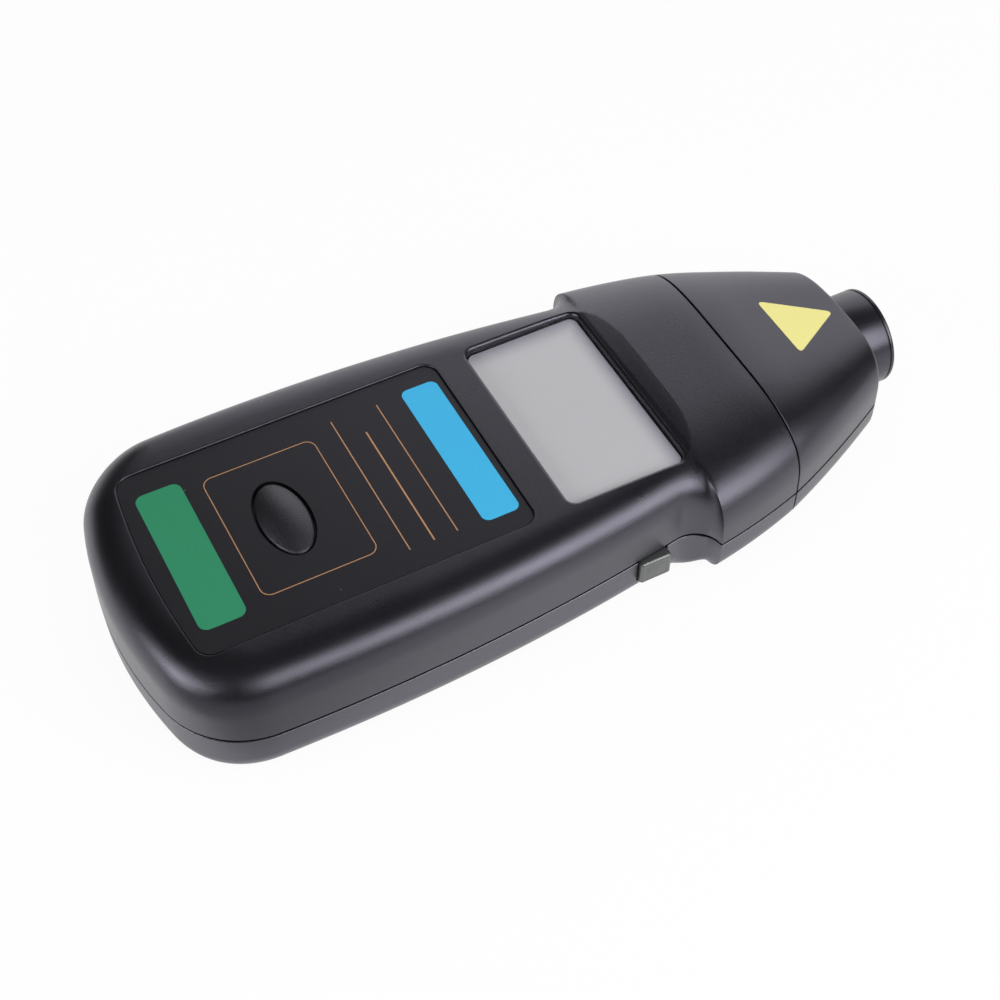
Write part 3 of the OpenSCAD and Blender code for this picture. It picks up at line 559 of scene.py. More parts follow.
def rounded_lip(name, outline, tree, radius, z0, crisp=1.0):
    """The softly rounded edge of an opening, laid along the height of the surface round it.
    Away from its far side the round is only the crisp share of the radius."""
    edge = outline(0)
    outside = outline(-radius)
    steps = 6
    rows = []
    for (x, y), (ox, oy) in zip(edge, outside):
        top = height_on(tree, ox, oy)
        share = 0.98 * mix(crisp, 1.0, smooth(max(0.0, (oy - y) / radius)))
        row = [(ox, oy, z0), (ox, oy, top)]
        for k in range(steps + 1):
            a = math.pi / 2 * k / steps
            out = share * (1 - math.sin(a))
            row.append((mix(x, ox, out), mix(y, oy, out), top - share * radius * (1 - math.cos(a))))
        row.append((x, y, z0))
        rows.append(row)
    return looped_solid(name, rows)


# Colours and shader groups
def shade(red, green, blue):
    """An 8-bit screen colour as the linear colour the shader takes."""
    def linear(c):
        c /= 255
        return c / 12.92 if c <= 0.04045 else ((c + 0.055) / 1.055) ** 2.4
    return (linear(red), linear(green), linear(blue), 1.0)


def group_tree(name, inputs, outputs):
    tree = bpy.data.node_groups.new(name, "ShaderNodeTree")
    for label, value in inputs:
        socket = tree.interface.new_socket(label, in_out="INPUT", socket_type="NodeSocketFloat")
        socket.default_value = value
    for label in outputs:
        tree.interface.new_socket(label, in_out="OUTPUT", socket_type="NodeSocketFloat")
    start = tree.nodes.new("NodeGroupInput")
    end = tree.nodes.new("NodeGroupOutput")
    return tree, start, end


def add(tree, kind, links=(), **values):
    """Adds a node, sets its values and links its inputs from (socket name or index, source) pairs."""
    node = tree.nodes.new(kind)
    for key, value in values.items():
        setattr(node, key, value)
    for socket, source in links:
        if hasattr(source, "is_output"):
            tree.links.new(source, node.inputs[socket])
        else:
            node.inputs[socket].default_value = source
    return node


def calc(tree, operation, *terms):
    """The result of a Math node; each term is a socket or a number."""
    return add(tree, "ShaderNodeMath", enumerate(terms), operation=operation).outputs[0]


def ramp(tree, value, low, high, start=0.0, end=1.0, **values):
    """The value brought from the range low to high into the range start to end."""
    links = (("Value", value), ("From Min", low), ("From Max", high), ("To Min", start), ("To Max", end))
    return add(tree, "ShaderNodeMapRange", links, **values).outputs["Result"]


def noise(tree, place, scale, detail, roughness=0.5):
    links = (("Vector", place), ("Scale", scale), ("Detail", detail), ("Roughness", roughness))
    return add(tree, "ShaderNodeTexNoise", links).outputs["Fac"]


def between(tree, share, first, second):
    """A colour between two colours."""
    links = ((0, share), (6, first), (7, second))
    return add(tree, "ShaderNodeMix", links, data_type="RGBA").outputs[2]


def axes(tree, vector):
    return add(tree, "ShaderNodeSeparateXYZ", ((0, vector),)).outputs


def object_place(tree):
    return add(tree, "ShaderNodeTexCoord").outputs["Object"]


def moulded_grain_group():
    """Spark-eroded grain of a moulding: a height for the bump, and a fleck mask."""
    tree, start, end = group_tree("moulded_grain", (("Grain Size", 0.3), ("Fleck Size", 1.2)),
                                  ("Height", "Fleck"))
    place = object_place(tree)
    fine = calc(tree, "DIVIDE", 1000.0, start.outputs["Grain Size"])
    coarse = calc(tree, "DIVIDE", 1000.0, start.outputs["Fleck Size"])
    pits = noise(tree, place, fine, 2.0, 0.6)
    fleck = ramp(tree, noise(tree, place, coarse, 4.0, 0.7), 0.42, 0.68)
    tree.links.new(pits, end.inputs["Height"])
    tree.links.new(fleck, end.inputs["Fleck"])
    return tree


def dust_specks_group():
    """Sparse small specks of dust, and a broad cloud of handling marks."""
    tree, start, end = group_tree("dust_specks", (("Speck Spacing", 9.0), ("Speck Size", 0.012)),
                                  ("Speck", "Handling"))
    place = object_place(tree)
    scale = calc(tree, "DIVIDE", 1000.0, start.outputs["Speck Spacing"])
    cells = add(tree, "ShaderNodeTexVoronoi", (("Vector", place), ("Scale", scale)))
    speck = calc(tree, "LESS_THAN", cells.outputs["Distance"], start.outputs["Speck Size"])
    handling = ramp(tree, noise(tree, place, 60.0, 5.0), 0.3, 0.7)
    tree.links.new(speck, end.inputs["Speck"])
    tree.links.new(handling, end.inputs["Handling"])
    return tree


GRAIN = moulded_grain_group()
DUST = dust_specks_group()
DUST_COLOUR = shade(176, 174, 170)


def finish_of(name, colour, roughness, grain=0.3, depth=0.1, fleck=0.15, speck=0.0, handling=0.05,
              **sockets):
    """A finish whose colour, roughness and bump follow the grain and dust groups."""
    material = bpy.data.materials.new(name)
    material.use_nodes = True
    tree = material.node_tree
    shader = tree.nodes["Principled BSDF"]
    for key, value in sockets.items():
        shader.inputs[key.replace("_", " ")].default_value = value
    texture = add(tree, "ShaderNodeGroup", node_tree=GRAIN)
    texture.inputs["Grain Size"].default_value = grain
    texture.inputs["Fleck Size"].default_value = grain * 3
    dust = add(tree, "ShaderNodeGroup", node_tree=DUST)
    light = tuple(min(1.0, c * 1.6 + 0.004) for c in colour[:3]) + (1.0,)
    amount = calc(tree, "MULTIPLY", texture.outputs["Fleck"], fleck)
    share = calc(tree, "MULTIPLY", dust.outputs["Speck"], speck)
    tone = between(tree, share, between(tree, amount, colour, light), DUST_COLOUR)
    tree.links.new(tone, shader.inputs["Base Color"])
    worn = calc(tree, "MULTIPLY_ADD", dust.outputs["Handling"], handling, roughness)
    tree.links.new(worn, shader.inputs["Roughness"])
    bump = add(tree, "ShaderNodeBump", (("Height", texture.outputs["Height"]), ("Strength", depth),
                                        ("Distance", 0.0002)))
    tree.links.new(bump.outputs["Normal"], shader.inputs["Normal"])
    return material


GLOSS = {"Specular_IOR_Level": 1.0, "Specular_Tint": (0.85, 0.83, 1.0, 1.0)}
MOULDED = {"grain": 0.22, "depth": 0.26, "fleck": 0.35, "speck": 0.12, **GLOSS}
CLEAR = {"grain": 0.6, "depth": 0.01, "fleck": 0.02, "handling": 0.03}
PRINTED = {"grain": 0.2, "depth": 0.08}
BLACK = shade(17, 17, 20)
HOUSING = finish_of("housing_black_moulding", BLACK, 0.27, IOR=1.55, **MOULDED)
REAR = finish_of("rear_black_moulding", BLACK, 0.3, IOR=1.64, **MOULDED)
NOSE = finish_of("nose_black_moulding", BLACK, 0.27, IOR=1.55, **MOULDED)
LABEL = finish_of("label_black_film", shade(18, 18, 20), 0.4, grain=0.18, depth=0.12, fleck=0.2,
                  speck=0.5, **{**GLOSS, "Specular_IOR_Level": 0.7})
BORDER = finish_of("window_black_border", shade(12, 12, 14), 0.15, grain=0.2, depth=0.03, fleck=0.1)
GREEN = finish_of("print_green", shade(46, 135, 97), 0.5, fleck=0.08, Specular_IOR_Level=0.3,
                  **PRINTED)
CYAN = finish_of("print_cyan", shade(63, 180, 230), 0.5, fleck=0.06, Specular_IOR_Level=0.3,
                 **PRINTED)
GOLD = finish_of("print_copper_line", shade(176, 132, 96), 0.42, fleck=0.2, **PRINTED)
YELLOW = finish_of("print_pale_yellow", shade(243, 235, 146), 0.45, grain=0.25, depth=0.1, fleck=0.05)
BUTTON = finish_of("button_black_satin", shade(20, 20, 22), 0.44, grain=0.34, depth=0.5, fleck=0.35,
                   **GLOSS)
SIDE_BUTTON = finish_of("side_button_grey", shade(42, 46, 45), 0.34, grain=0.3, depth=0.2, fleck=0.2,
                        IOR=1.75, Specular_IOR_Level=1.0)
TUBE = finish_of("tube_black_satin", shade(22, 22, 25), 0.28, grain=0.2, depth=0.1, fleck=0.2,
                 **{**GLOSS, "Specular_IOR_Level": 0.9})
DISPLAY = finish_of("display_grey_glass", shade(203, 202, 206), 0.3, grain=0.12, depth=0.03, fleck=0.03)
RUBBER = finish_of("contact_rubber_pink", shade(205, 136, 150), 0.7, grain=0.15, depth=0.2)
BOARD = finish_of("circuit_board_green", shade(38, 92, 52), 0.45, grain=0.5, depth=0.2, fleck=0.4)
CHIP = finish_of("chip_black", shade(30, 30, 32), 0.55, grain=0.1, depth=0.2)
METAL = finish_of("bare_steel", shade(176, 178, 182), 0.3, grain=0.15, depth=0.12, fleck=0.3, Metallic=1.0)
BRASS = finish_of("laser_brass", shade(190, 152, 84), 0.28, grain=0.15, depth=0.1, fleck=0.3, Metallic=1.0)
RIBBON = finish_of("ribbon_grey", shade(150, 152, 156), 0.5, grain=0.4, depth=0.1)
BATTERY = finish_of("battery_can", shade(66, 70, 80), 0.32, grain=0.2, depth=0.05, fleck=0.3, Metallic=0.7)
LEAD = finish_of("lead_black", shade(40, 40, 42), 0.5, grain=0.2, depth=0.1)
PANE = finish_of("window_clear_pane", shade(70, 70, 74), 0.06, Alpha=0.05, **CLEAR)
LENS = finish_of("lens_clear", shade(150, 165, 190), 0.05, Alpha=0.45, **CLEAR)


def painted_edge_shade(material):
    """Paints shade into the display's colour towards its far edge and its head edge, which lie deep under
    the frame.
    """
    tree = material.node_tree
    shader = tree.nodes["Principled BSDF"]
    plain = shader.inputs["Base Color"].links[0].from_socket
    parts = axes(tree, object_place(tree))
    far = ramp(tree, parts["Y"], 0.0192, 0.0246, interpolation_type="SMOOTHSTEP")
    head = ramp(tree, parts["X"], 0.0232, 0.0284, interpolation_type="SMOOTHSTEP")
    edge = calc(tree, "MAXIMUM", far, head)
    # painted shade: the lilac grey stands for the frame's shadow on the display near its far and head edges
    tree.links.new(between(tree, edge, plain, shade(160, 157, 170)), shader.inputs["Base Color"])


def coarse_facet(material):
    """A coarser, duller grain on the sloped facet between the window and the head."""
    tree = material.node_tree
    shader = tree.nodes["Principled BSDF"]
    coords = add(tree, "ShaderNodeTexCoord")
    ahead = calc(tree, "GREATER_THAN", axes(tree, coords.outputs["Object"])["X"], 0.024)
    lean = axes(tree, coords.outputs["Normal"])
    slope = ramp(tree, lean["X"], -0.08, -0.15)
    upward = ramp(tree, lean["Z"], 0.88, 0.95)
    mask = calc(tree, "MULTIPLY", calc(tree, "MULTIPLY", slope, upward), ahead)
    tree.links.new(ramp(tree, mask, 0.0, 1.0, 1.0, 0.42), shader.inputs["Specular IOR Level"])
    bump = shader.inputs["Normal"].links[0].from_node
    leather = add(tree, "ShaderNodeGroup", node_tree=GRAIN)
    leather.inputs["Grain Size"].default_value = 0.55
    fine = bump.inputs["Height"].links[0].from_socket
    height = add(tree, "ShaderNodeMix", ((0, mask), (2, fine), (3, leather.outputs["Height"])))
    tree.links.new(height.outputs[0], bump.inputs["Height"])


painted_edge_shade(DISPLAY)
coarse_facet(HOUSING)

NODE_FINISH = {
    "display_window": PANE, "lcd_panel": DISPLAY, "lcd_contacts": RUBBER, "main_board": BOARD,
    "switch_board": BOARD, "sensor_board": BOARD, "processor_chip": CHIP, "crystal_can": METAL,
    "memory_switch": METAL, "test_switch": METAL, "memory_plunger": BUTTON, "test_plunger": BUTTON,
    "laser_module": BRASS, "photo_diode": CHIP, "sensor_ribbon": RIBBON, "battery": BATTERY,
    "battery_snap": CHIP, "battery_leads": LEAD, "board_screws": METAL,
}
for node, material in NODE_FINISH.items():
    for holder in frame["nodes"][node].material_slots:
        holder.material = material


def key_hole():
    """The cutter for the oval button's hole."""
    outline = oval(KEY_L + 2 * KEY_GAP, KEY_W + 2 * KEY_GAP)
    return prism("key_hole", moved(outline, KEY_C), CUT_Z0, CUT_Z1)


# The front half of the case
def make_front_shell():
    shell = case_shell("front_shell", 1)
    rise = FACET_RUN * FACET_SLOPE
    z0 = GRIP_H - FACET_DROP
    z1 = z0 + FACET_TALL
    x1 = FACET_X + FACET_RUN
    half = WINDOW_W / 2 + 1
    wedge = [(FACET_X, z0), (x1, z0 + rise), (x1, z1), (FACET_X, z1)]
    points = [(x, -half, z) for x, z in wedge] + [(x, half, z) for x, z in wedge]
    faces = [[0, 1, 2, 3], [7, 6, 5, 4], [0, 4, 5, 1], [1, 5, 6, 2], [2, 6, 7, 3], [3, 7, 4, 0]]
    carve(shell, [raw_piece("facet", points, faces)])
    face = surface_of(shell)
    label_floor = LABEL_Z - LABEL_T
    window_lip = rounded_lip("window_lip", window_outline, face, WINDOW_LIP, PANE_Z - PANE_T)
    label_lip = rounded_lip("label_lip", label_outline, face, LABEL_LIP, label_floor, LABEL_CRISP)
    carve(shell, [prism("window_cut", window_outline(-WINDOW_LIP), CUT_Z0, CUT_Z1),
                  prism("label_cut", label_outline(-LABEL_LIP), label_floor, CUT_Z1), key_hole()])
    join_into(shell, [window_lip, label_lip])
    return finish_piece(shell, HOUSING, "housing", ("front_case",))


def screw_posts(piece, places, foot):
    for x, y in places:
        for side in (-1, 1):
            carve(piece, [post("boss", x, side * y, BOSS_R, foot, INNER_RIM)], "UNION")
            carve(piece, [post("hole", x, side * y, SCREW_HOLE_R, -1, SCREW_SEAT)])


# The rear half of the case and the battery door
def make_rear_shell():
    shell = case_shell("rear_shell", -1)
    y0 = DOOR_W / 2 + DOOR_LIP + DOOR_GAP + 0.4
    x1 = DOOR_X + DOOR_GAP + 0.8
    y1 = y0 + BAY_WALL
    bay = ((BAY_X, x1, y0, y1), (BAY_X, x1, -y1, -y0), (x1, x1 + BAY_WALL, -y1, y1))
    carve(shell, [block("bay_wall", *place, BAY_FOOT, INNER_RIM) for place in bay], "UNION")
    screw_posts(shell, (TAIL_SCREW, HEAD_SCREW), 1.4)
    w0 = DOOR_W / 2 + DOOR_GAP
    w1 = w0 + DOOR_LIP
    wall_key = side_half(SIDE_KEY_C)
    slack = 0.25
    half = SIDE_KEY_L / 2 + slack
    behind, above = TAIL_X - 1, WALL + 0.5
    carve(shell, [block("door_cut", behind, DOOR_X + DOOR_GAP, -w0, w0, -1, above),
                  block("ledge_cut", behind, DOOR_X + DOOR_GAP, -w1, w1, WALL / 2, above),
                  block("tail_cut", behind, BAY_X, -w0, w0, -1, DOOR_RISE + DOOR_GAP),
                  block("key_cut", SIDE_KEY_C - half, SIDE_KEY_C + half, -wall_key - 3,
                        -wall_key + WALL + 1.5, SIDE_KEY_Z0 - slack, PARTING_H + 1)])
    return finish_piece(shell, REAR, "housing", ("rear_case",))


def grow_tree(name, inputs):
    """An empty Geometry Nodes tree with these inputs, each a label and a kind of socket."""
    tree = bpy.data.node_groups.new(name, "GeometryNodeTree")
    names = {}
    for label, kind in inputs:
        socket = tree.interface.new_socket(label, in_out="INPUT", socket_type="NodeSocket" + kind)
        names[label] = socket.identifier
    tree.interface.new_socket("Geometry", in_out="OUTPUT", socket_type="NodeSocketGeometry")
    return tree, names, tree.nodes.new("NodeGroupInput").outputs


def coat_instances(tree, instances, finish):
    """Makes the instances real, gives them the finish and sends them out of the tree."""
    real = add(tree, "GeometryNodeRealizeInstances", ((0, instances),))
    coated = add(tree, "GeometryNodeSetMaterial", (("Geometry", real.outputs[0]), ("Material", finish)))
    end = tree.nodes.new("NodeGroupOutput")
    tree.links.new(coated.outputs["Geometry"], end.inputs[0])


def thumb_groove_tree():
    """Geometry Nodes: a row of bars across the door, cut out of it as grooves for the thumb."""
    tree, names, given = grow_tree("thumb_grooves", (
        ("Count", "Int"), ("Pitch", "Float"), ("Length", "Float"), ("Depth", "Float"), ("Start", "Vector"),
        ("Finish", "Material")))
    along = add(tree, "ShaderNodeCombineXYZ", ((0, given["Pitch"]),))
    line = add(tree, "GeometryNodeMeshLine", (("Count", given["Count"]), ("Start Location", given["Start"]),
                                              ("Offset", along.outputs[0])))
    width = calc(tree, "MULTIPLY", given["Pitch"], 0.5)
    height = calc(tree, "MULTIPLY", given["Depth"], 2.0)
    size = add(tree, "ShaderNodeCombineXYZ", ((0, width), (1, given["Length"]), (2, height)))
    bar = add(tree, "GeometryNodeMeshCube", (("Size", size.outputs[0]),))
    bars = add(tree, "GeometryNodeInstanceOnPoints", (("Points", line.outputs["Mesh"]),
                                                      ("Instance", bar.outputs["Mesh"])))
    coat_instances(tree, bars.outputs["Instances"], given["Finish"])
    return tree, names


def grown(name, points, tree, names, values):
    """A raw piece grown by a Geometry Nodes tree on the given points."""
    piece = raw_piece(name, points, [], tidy=False)
    step = piece.modifiers.new("grow", "NODES")
    step.node_group = tree
    for label, value in values.items():
        step[names[label]] = value
    plain_mesh(piece)
    return piece


def make_battery_door():
    door = case_shell("battery_door_panel", -1)
    low = block("door_low", TAIL_X - 1, DOOR_X, -DOOR_W / 2, DOOR_W / 2, -1, WALL + 1)
    high = block("door_high", TAIL_X - 1, BAY_X - DOOR_GAP, -DOOR_W / 2, DOOR_W / 2, -2, DOOR_RISE)
    carve(low, [high], "UNION")
    carve(door, [low], "INTERSECT")
    half = DOOR_W / 2 + DOOR_LIP
    flange = block("door_flange", BAY_X + 3, DOOR_X, -half, half, WALL / 2 + DOOR_GAP, WALL)
    carve(door, [flange], "UNION")
    tree, names = thumb_groove_tree()
    grooves = grown("grooves", [(0, 0, 0)], tree, names, {
        "Count": 5, "Pitch": 2.4, "Length": DOOR_W / 2, "Depth": 0.45,
        "Start": (DOOR_X - 15.4, 0.0, 0.0), "Finish": REAR})
    carve(door, [grooves])
    return finish_piece(door, REAR, "battery_hatch", ("battery_door",))


# The two halves of the nose
def make_nose_half(name, up, node):
    half = nose_shell(name, up)
    if up < 0:
        screw_posts(half, (NOSE_SCREW,), 1.9)
    carve(half, [rod("bore", TUBE_IN_R + 0.05, SEAM_X - 1, FRONT_X + 1)])
    return finish_piece(half, NOSE, "housing", (node,))


def make_lens_tube():
    corners = [(TUBE_BORE, TUBE_BACK, 0.1), (TUBE_IN_R, TUBE_BACK, 0.3),
               (TUBE_IN_R, RIB_X - 0.05, 0), (TUBE_IN_R - RIB_BITE, RIB_X - 0.05, 0),
               (TUBE_IN_R - RIB_BITE, RIB_X + RIB_T + 0.05, 0), (TUBE_IN_R, RIB_X + RIB_T + 0.05, 0),
               (TUBE_IN_R, TUBE_STOP, 0), (TUBE_R, TUBE_STOP, 0.15),
               (TUBE_R, GROOVE_X, 0.12), (TUBE_R - GROOVE_W, GROOVE_X, 0.08),
               (TUBE_R - GROOVE_W, GROOVE_X + GROOVE_W, 0.08), (TUBE_R, GROOVE_X + GROOVE_W, 0.12),
               (TUBE_R, TUBE_X, 0.45), (TUBE_BORE + 0.7, TUBE_X, 0.2),
               (TUBE_BORE, TUBE_X - 0.7, 0.2), (TUBE_BORE, LENS_X, 0),
               (TUBE_BORE - 1, LENS_X - 1, 0), (TUBE_BORE - 1, LENS_X - 3, 0), (TUBE_BORE, LENS_X - 4, 0)]
    tube = lathe("lens_tube_barrel", rounded(corners, 0.1), 160)
    return finish_piece(tube, TUBE, "housing", ("lens_tube",))


def make_front_lens():
    lens_r = TUBE_BORE - 0.05
    dome_r = (lens_r ** 2 + LENS_BULGE ** 2) / (2 * LENS_BULGE)
    top = LENS_X + LENS_T + LENS_BULGE
    profile = [(LASER_HOLE, LENS_X), (lens_r, LENS_X)]
    for k in range(17):
        r = mix(lens_r, LASER_HOLE, k / 16)
        profile.append((r, top - dome_r + math.sqrt(dome_r ** 2 - r ** 2)))
    lens = lathe("front_lens_dome", profile, 128)
    return finish_piece(lens, LENS, "housing", ("front_lens",))


# The two buttons
def make_memory_button():
    rim_round = 0.5

    def ring(inset, z=None, drop=0.0, scale=1.0):
        points = []
        for x, y in oval(scale * (KEY_L - 2 * inset), scale * (KEY_W - 2 * inset)):
            top = KEY_TOP - KEY_RISE * ((2 * y / KEY_W) ** 2 + (2 * x / KEY_L) ** 2) - drop
            points.append((x + KEY_C, y, top if z is None else z))
        return points

    flange = -(KEY_FLANGE_LAP + KEY_GAP)
    flange_top = KEY_FLANGE_Z + KEY_FLANGE_T
    rings = [ring(flange, KEY_FLANGE_Z), ring(flange, flange_top), ring(0, flange_top)]
    for k in range(8):
        a = math.pi / 2 * k / 7
        rings.append(ring(rim_round * (1 - math.cos(a)), None, rim_round * (1 - math.sin(a))))
    for k in range(1, 14):
        rings.append(ring(rim_round, scale=1 - k / 13.3))
    cap = ringed_solid("memory_button_cap", rings)
    room = SWITCH_ROOM / 2
    below = KEY_FLANGE_Z - 1
    carve(cap, [block("switch_room", KEY_C - room, KEY_C + room, -room, room, below, KEY_SEAT_Z)])
    return finish_piece(cap, BUTTON, "memory_key", ("memory_button",))


def make_test_button():
    wall_key = side_half(SIDE_KEY_C)
    face_y = -(wall_key + SIDE_KEY_OUT)
    flange_y = wall_key - WALL - 1
    flange_t = 1.2
    length, height = SIDE_KEY_L, SIDE_KEY_Z1 - SIDE_KEY_Z0
    mid_z = (SIDE_KEY_Z0 + SIDE_KEY_Z1) / 2

    def ring(inset, y, r=0.7):
        outline = round_rect(length - 2 * inset, height - 2 * inset, max(0.15, r - inset), 5)
        return [(SIDE_KEY_C + x, y, mid_z + z) for x, z in outline]

    rings = [ring(0, flange_t - flange_y)]
    bevel, mark = 0.8, 0.06
    for k in range(6):
        a = math.pi / 2 * k / 5
        rings.append(ring(bevel * (1 - math.cos(a)), face_y + bevel * (1 - math.sin(a))))
    for inset, deep in ((1.2, 0), (1.3, mark), (1.4, mark), (1.5, 0)):
        rings.append(ring(inset, face_y + deep))
    cap = ringed_solid("test_button_cap", rings)
    lap = length / 2 + 1
    flange = block("flange", SIDE_KEY_C - lap, SIDE_KEY_C + lap, -flange_y, flange_t - flange_y,
                   SIDE_KEY_Z0, SIDE_KEY_Z1)
    carve(cap, [flange], "UNION")
    return finish_piece(cap, SIDE_BUTTON, "test_key", ("test_button",))


def make_window_border():
    """The black border printed under the clear pane."""
    under = PANE_Z - PANE_T
    border = prism("window_border", window_outline(-0.7), under - 0.07, under - 0.02)
    carve(border, [prism("view", window_outline(0.35), under - 1, under + 1)])
    return finish_piece(border, BORDER, "housing")


# The label sheet and its print
def make_label():
    sheet = prism("label_sheet", moved(label_outline(0.25), 0, 0.1), LABEL_Z - LABEL_T, LABEL_Z)
    carve(sheet, [key_hole()])
    return finish_piece(sheet, LABEL, "housing", ("face_label",))


def inked(name, outline):
    """A thin layer of print on the sheet."""
    return prism(name, outline, LABEL_Z - INK_SINK, LABEL_Z + INK)


def print_field(name, x0, x1, half, r, material):
    field = inked(name, moved(round_rect(x1 - x0, 2 * half, r), (x0 + x1) / 2))
    return finish_piece(field, material, "housing")


def print_lines():
    """The thin frame round the button and the three rules between it and the blue field."""
    x0, x1, half, r, line = -64.5, -39.2, 17.0, 2.3, 0.2
    frame_c = (x0 + x1) / 2
    frame_line = inked("print_lines", moved(round_rect(x1 - x0, 2 * half, r), frame_c))
    inner = moved(round_rect(x1 - x0 - 2 * line, 2 * (half - line), r - line), frame_c)
    carve(frame_line, [prism("inner", inner, LABEL_Z - 1, LABEL_Z + 1)])
    rules = []
    for x, y0, y1, wide in RULES:
        left, right = x - wide / 2, x + wide / 2
        rules.append(inked("rule", [(left, y0), (right, y0), (right, y1), (left, y1)]))
    join_into(frame_line, rules)
    return finish_piece(frame_line, GOLD, "housing")


def make_nose_field(surface):
    """A plain pale triangle with rounded corners that follows the nose's top."""
    base_x, half, apex_x, middle = 66.2, 9.1, 81.0, -0.4
    corners = [(base_x, middle - half), (base_x, middle + half), (apex_x, middle)]
    outline = fine_loop(rounded(corners, 1.7, 8), 0.8)
    cx, cy = base_x + (apex_x - base_x) / 3, middle
    steps, middle_share, top, under = 14, 0.002, INK, -0.3
    rings = []
    for level, order in ((top, range(steps + 1)), (under, range(steps, -1, -1))):
        for k in order:
            share = max(k / steps, middle_share)
            ring = [(mix(cx, x, share), mix(cy, y, share)) for x, y in outline]
            rings.append([(x, y, height_on(surface, x, y) + level) for x, y in ring])
    field = ringed_solid("nose_field", rings)
    return finish_piece(field, YELLOW, "housing")


# The six case screws
def screw_blank():
    """One screw: a domed head with a cross recess that faces down, and its shank."""
    head_r, shank_r = 2.5, 1.3
    z0, z1, z2 = 3.2, 5.0, 12.0
    rings = []
    for r, z in ((0.05, z0), (1.4, z0 + 0.05), (2.0, z0 + 0.25), (2.4, z0 + 0.7), (head_r, z0 + 1.1),
                 (head_r, z1), (shank_r, z1), (shank_r, z2), (0.05, z2)):
        rings.append([(x, y, z) for x, y in oval(2 * r, 2 * r, 40)])
    blank = ringed_solid("screw_blank", rings)
    arm, wide = 1.35, 0.3
    carve(blank, [block("slot", -arm, arm, -wide, wide, z0 - 1, z0 + 1.0),
                  block("slot", -wide, wide, -arm, arm, z0 - 1, z0 + 1.0)])
    return blank


def screw_tree():
    """Geometry Nodes: one screw on every point, each turned by a seeded angle."""
    tree, names, given = grow_tree("screw_set", (
        ("Geometry", "Geometry"), ("Screw", "Object"), ("Seed", "Int"), ("Finish", "Material")))
    shape = add(tree, "GeometryNodeObjectInfo", (("Object", given["Screw"]),))
    turn = add(tree, "FunctionNodeRandomValue",
               ((0, (0, 0, 0)), (1, (0, 0, math.pi)), ("Seed", given["Seed"])), data_type="FLOAT_VECTOR")
    points = add(tree, "GeometryNodeMeshToPoints", (("Mesh", given["Geometry"]),))
    screws = add(tree, "GeometryNodeInstanceOnPoints", (("Points", points.outputs["Points"]),
                                                        ("Instance", shape.outputs["Geometry"]),
                                                        ("Rotation", turn.outputs[0])))
    coat_instances(tree, screws.outputs["Instances"], given["Finish"])
    return tree, names


def make_case_screws():
    places = [(x, side * y, 0.0) for x, y in (TAIL_SCREW, HEAD_SCREW, NOSE_SCREW) for side in (-1, 1)]
    blank = screw_blank()
    tree, names = screw_tree()
    screws = grown("case_screw_set", places, tree, names, {"Screw": blank, "Seed": 4, "Finish": METAL})
    bpy.data.objects.remove(blank)
    return finish_piece(screws, METAL, "housing", ("case_screws",))


# Floor, light and camera
WHITE = (1.0, 1.0, 1.0, 1.0)


def make_floor():
    """A pale floor, white to the camera and in gloss, but for a patch of painted shade at the near left that
    only reflections see.
    It can be seen through from below."""
    radius = 2500
    rim = [(x, y, -0.05) for x, y in oval(2 * radius, 2 * radius, 96)]
    floor = raw_piece("floor", rim, [list(range(len(rim)))], tidy=False)
    floor.data.transform(Matrix.Scale(MM, 4))
    material = bpy.data.materials.new("pale_floor")
    material.use_nodes = True
    tree = material.node_tree
    tree.nodes.remove(tree.nodes["Principled BSDF"])
    matte = add(tree, "ShaderNodeBsdfDiffuse", (("Color", (0.9, 0.9, 0.9, 1.0)),))
    path = add(tree, "ShaderNodeLightPath")
    place = object_place(tree)
    parts = axes(tree, place)
    # painted shade: the floor is dimmed for gloss rays at the near left, so the housing's near-left walls
    # reflect it darker
    lean = calc(tree, "MULTIPLY_ADD", parts["X"], 0.2, parts["Y"])
    near = ramp(tree, lean, -0.052, -0.062)
    left = ramp(tree, parts["X"], 0.0, -0.085, 0.0, 0.55)
    dim = calc(tree, "MULTIPLY", calc(tree, "MULTIPLY", near, left), path.outputs["Is Glossy Ray"])
    level = calc(tree, "SUBTRACT", 1.0, dim)
    white = add(tree, "ShaderNodeEmission", (("Color", WHITE), ("Strength", level)))
    seen = calc(tree, "MAXIMUM", path.outputs["Is Camera Ray"], path.outputs["Is Glossy Ray"])
    seen = calc(tree, "MAXIMUM", seen, path.outputs["Is Transmission Ray"])
    reach = add(tree, "ShaderNodeVectorMath", ((0, place),), operation="LENGTH").outputs["Value"]
    share = calc(tree, "MULTIPLY", seen, ramp(tree, reach, 0.3, 1.2, 0.94, 1.0))
    blend = add(tree, "ShaderNodeMixShader", ((0, share), (1, matte.outputs[0]), (2, white.outputs[0])))
    clear = add(tree, "ShaderNodeBsdfTransparent")
    below = add(tree, "ShaderNodeNewGeometry").outputs["Backfacing"]
    sided = add(tree, "ShaderNodeMixShader", ((0, below), (1, blend.outputs[0]), (2, clear.outputs[0])))
    tree.links.new(sided.outputs[0], tree.nodes["Material Output"].inputs["Surface"])
    floor.data.materials.append(material)


def soft_box(name, place, target, size, power, mirrored=True):
    """An area lamp; a lamp that isn't mirrored only fills in and leaves no highlight."""
    light = bpy.data.lights.new(name, "AREA")
    light.shape = "RECTANGLE"
    light.size, light.size_y = size
    light.energy = power
    lamp = bpy.data.objects.new(name, light)
    lamp.location = place
    lamp.rotation_euler = (Vector(target) - Vector(place)).to_track_quat("-Z", "Y").to_euler()
    lamp.visible_glossy = mirrored
    bpy.context.scene.collection.objects.link(lamp)


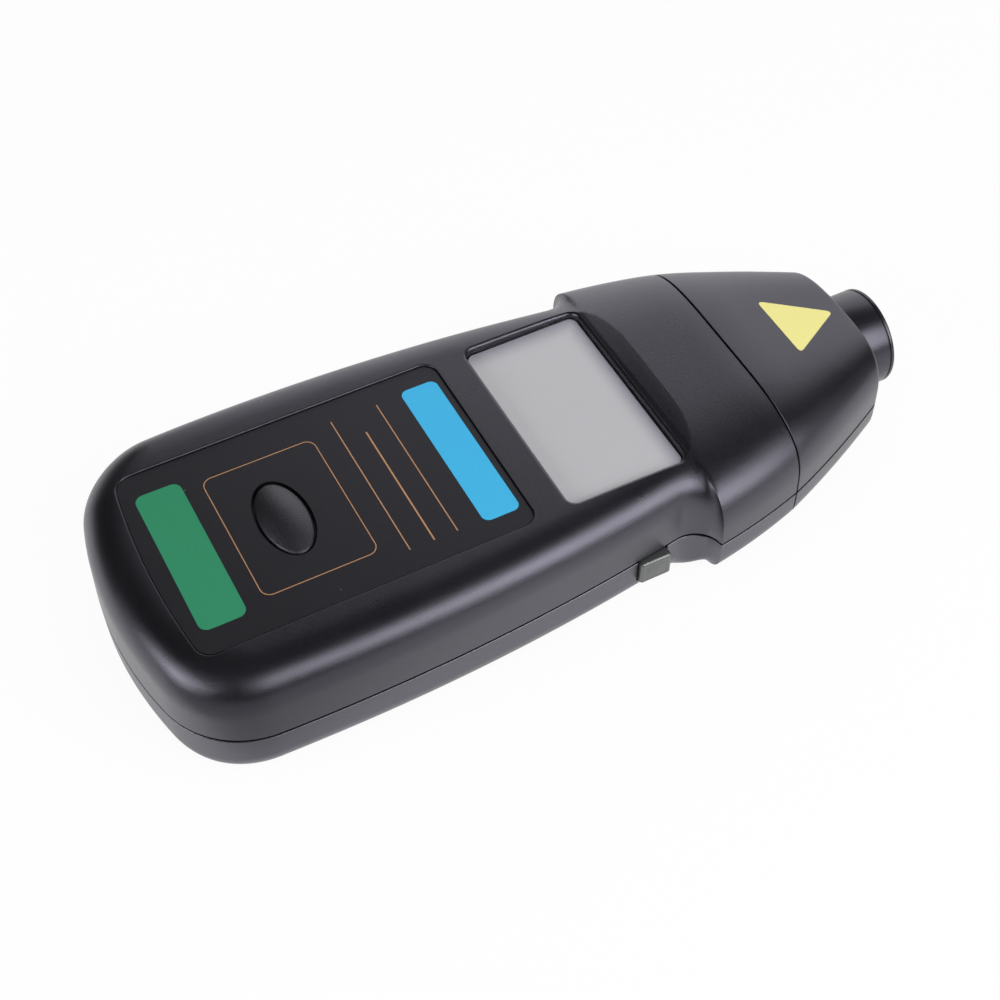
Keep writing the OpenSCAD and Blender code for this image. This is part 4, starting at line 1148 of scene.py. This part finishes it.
def make_light():
    world = bpy.data.worlds.new("studio")
    bpy.context.scene.world = world
    world.use_nodes = True
    tree = world.node_tree
    parts = axes(tree, add(tree, "ShaderNodeTexCoord").outputs["Generated"])
    low = ramp(tree, parts["Z"], 0.0, 0.35, 0.2, 0.05)
    side = ramp(tree, parts["X"], -0.5, 0.4, 0.1, 1.0)
    depth = ramp(tree, parts["Y"], -0.9, 0.2, 0.3, 1.0)
    level = calc(tree, "MULTIPLY", calc(tree, "MULTIPLY", low, side), depth)
    seen = calc(tree, "MAXIMUM", level, add(tree, "ShaderNodeLightPath").outputs["Is Camera Ray"])
    background = tree.nodes["Background"]
    background.inputs["Color"].default_value = WHITE
    tree.links.new(seen, background.inputs["Strength"])
    middle = (0.0, 0.0, 0.02)
    soft_box("key_box", (0.41, -0.58, 0.45), middle, (0.46, 0.58), 3.7)
    soft_box("far_panel", (0.74, 0.95, 0.66), (0.0, 0.0, 0.66), (1.5, 1.3), 7.2)
    soft_box("fill_box", (-0.1, -0.2, 1.0), middle, (0.9, 0.9), 4.0, mirrored=False)
    soft_box("left_box", (-0.747, -0.02, 0.305), middle, (0.48, 0.3), 2.3)
    soft_box("near_box", (-0.01, -0.62, 0.58), middle, (0.5, 0.5), 1.7)


def make_camera():
    camera = bpy.data.cameras.new("photo_camera")
    camera.sensor_fit = "HORIZONTAL"
    camera.sensor_width = 36
    camera.lens = 67.37
    holder = bpy.data.objects.new("photo_camera", camera)
    holder.location = (-0.12255, -0.23461, 0.32447)
    holder.rotation_euler = [math.radians(a) for a in (39.605, 0.4718, -27.4729)]
    bpy.context.scene.collection.objects.link(holder)
    bpy.context.scene.camera = holder


make_camera()
make_light()
make_floor()
make_front_shell()
make_rear_shell()
make_battery_door()
make_nose_half("nose_upper_hood", 1, "nose_upper")
make_nose_half("nose_lower_hood", -1, "nose_lower")
make_lens_tube()
make_front_lens()
make_memory_button()
make_test_button()
make_window_border()
make_label()
print_field("print_green_field", -78.5, -68.5, 19.05, 2.0, GREEN)
print_field("print_blue_field", -17.25, -8.85, 20.25, 1.7, CYAN)
print_lines()
nose_form = nose_shell("nose_form", 1)
make_nose_field(surface_of(nose_form))
bpy.data.objects.remove(nose_form)
make_case_screws()

bpy.context.scene.view_settings.view_transform = "Standard"
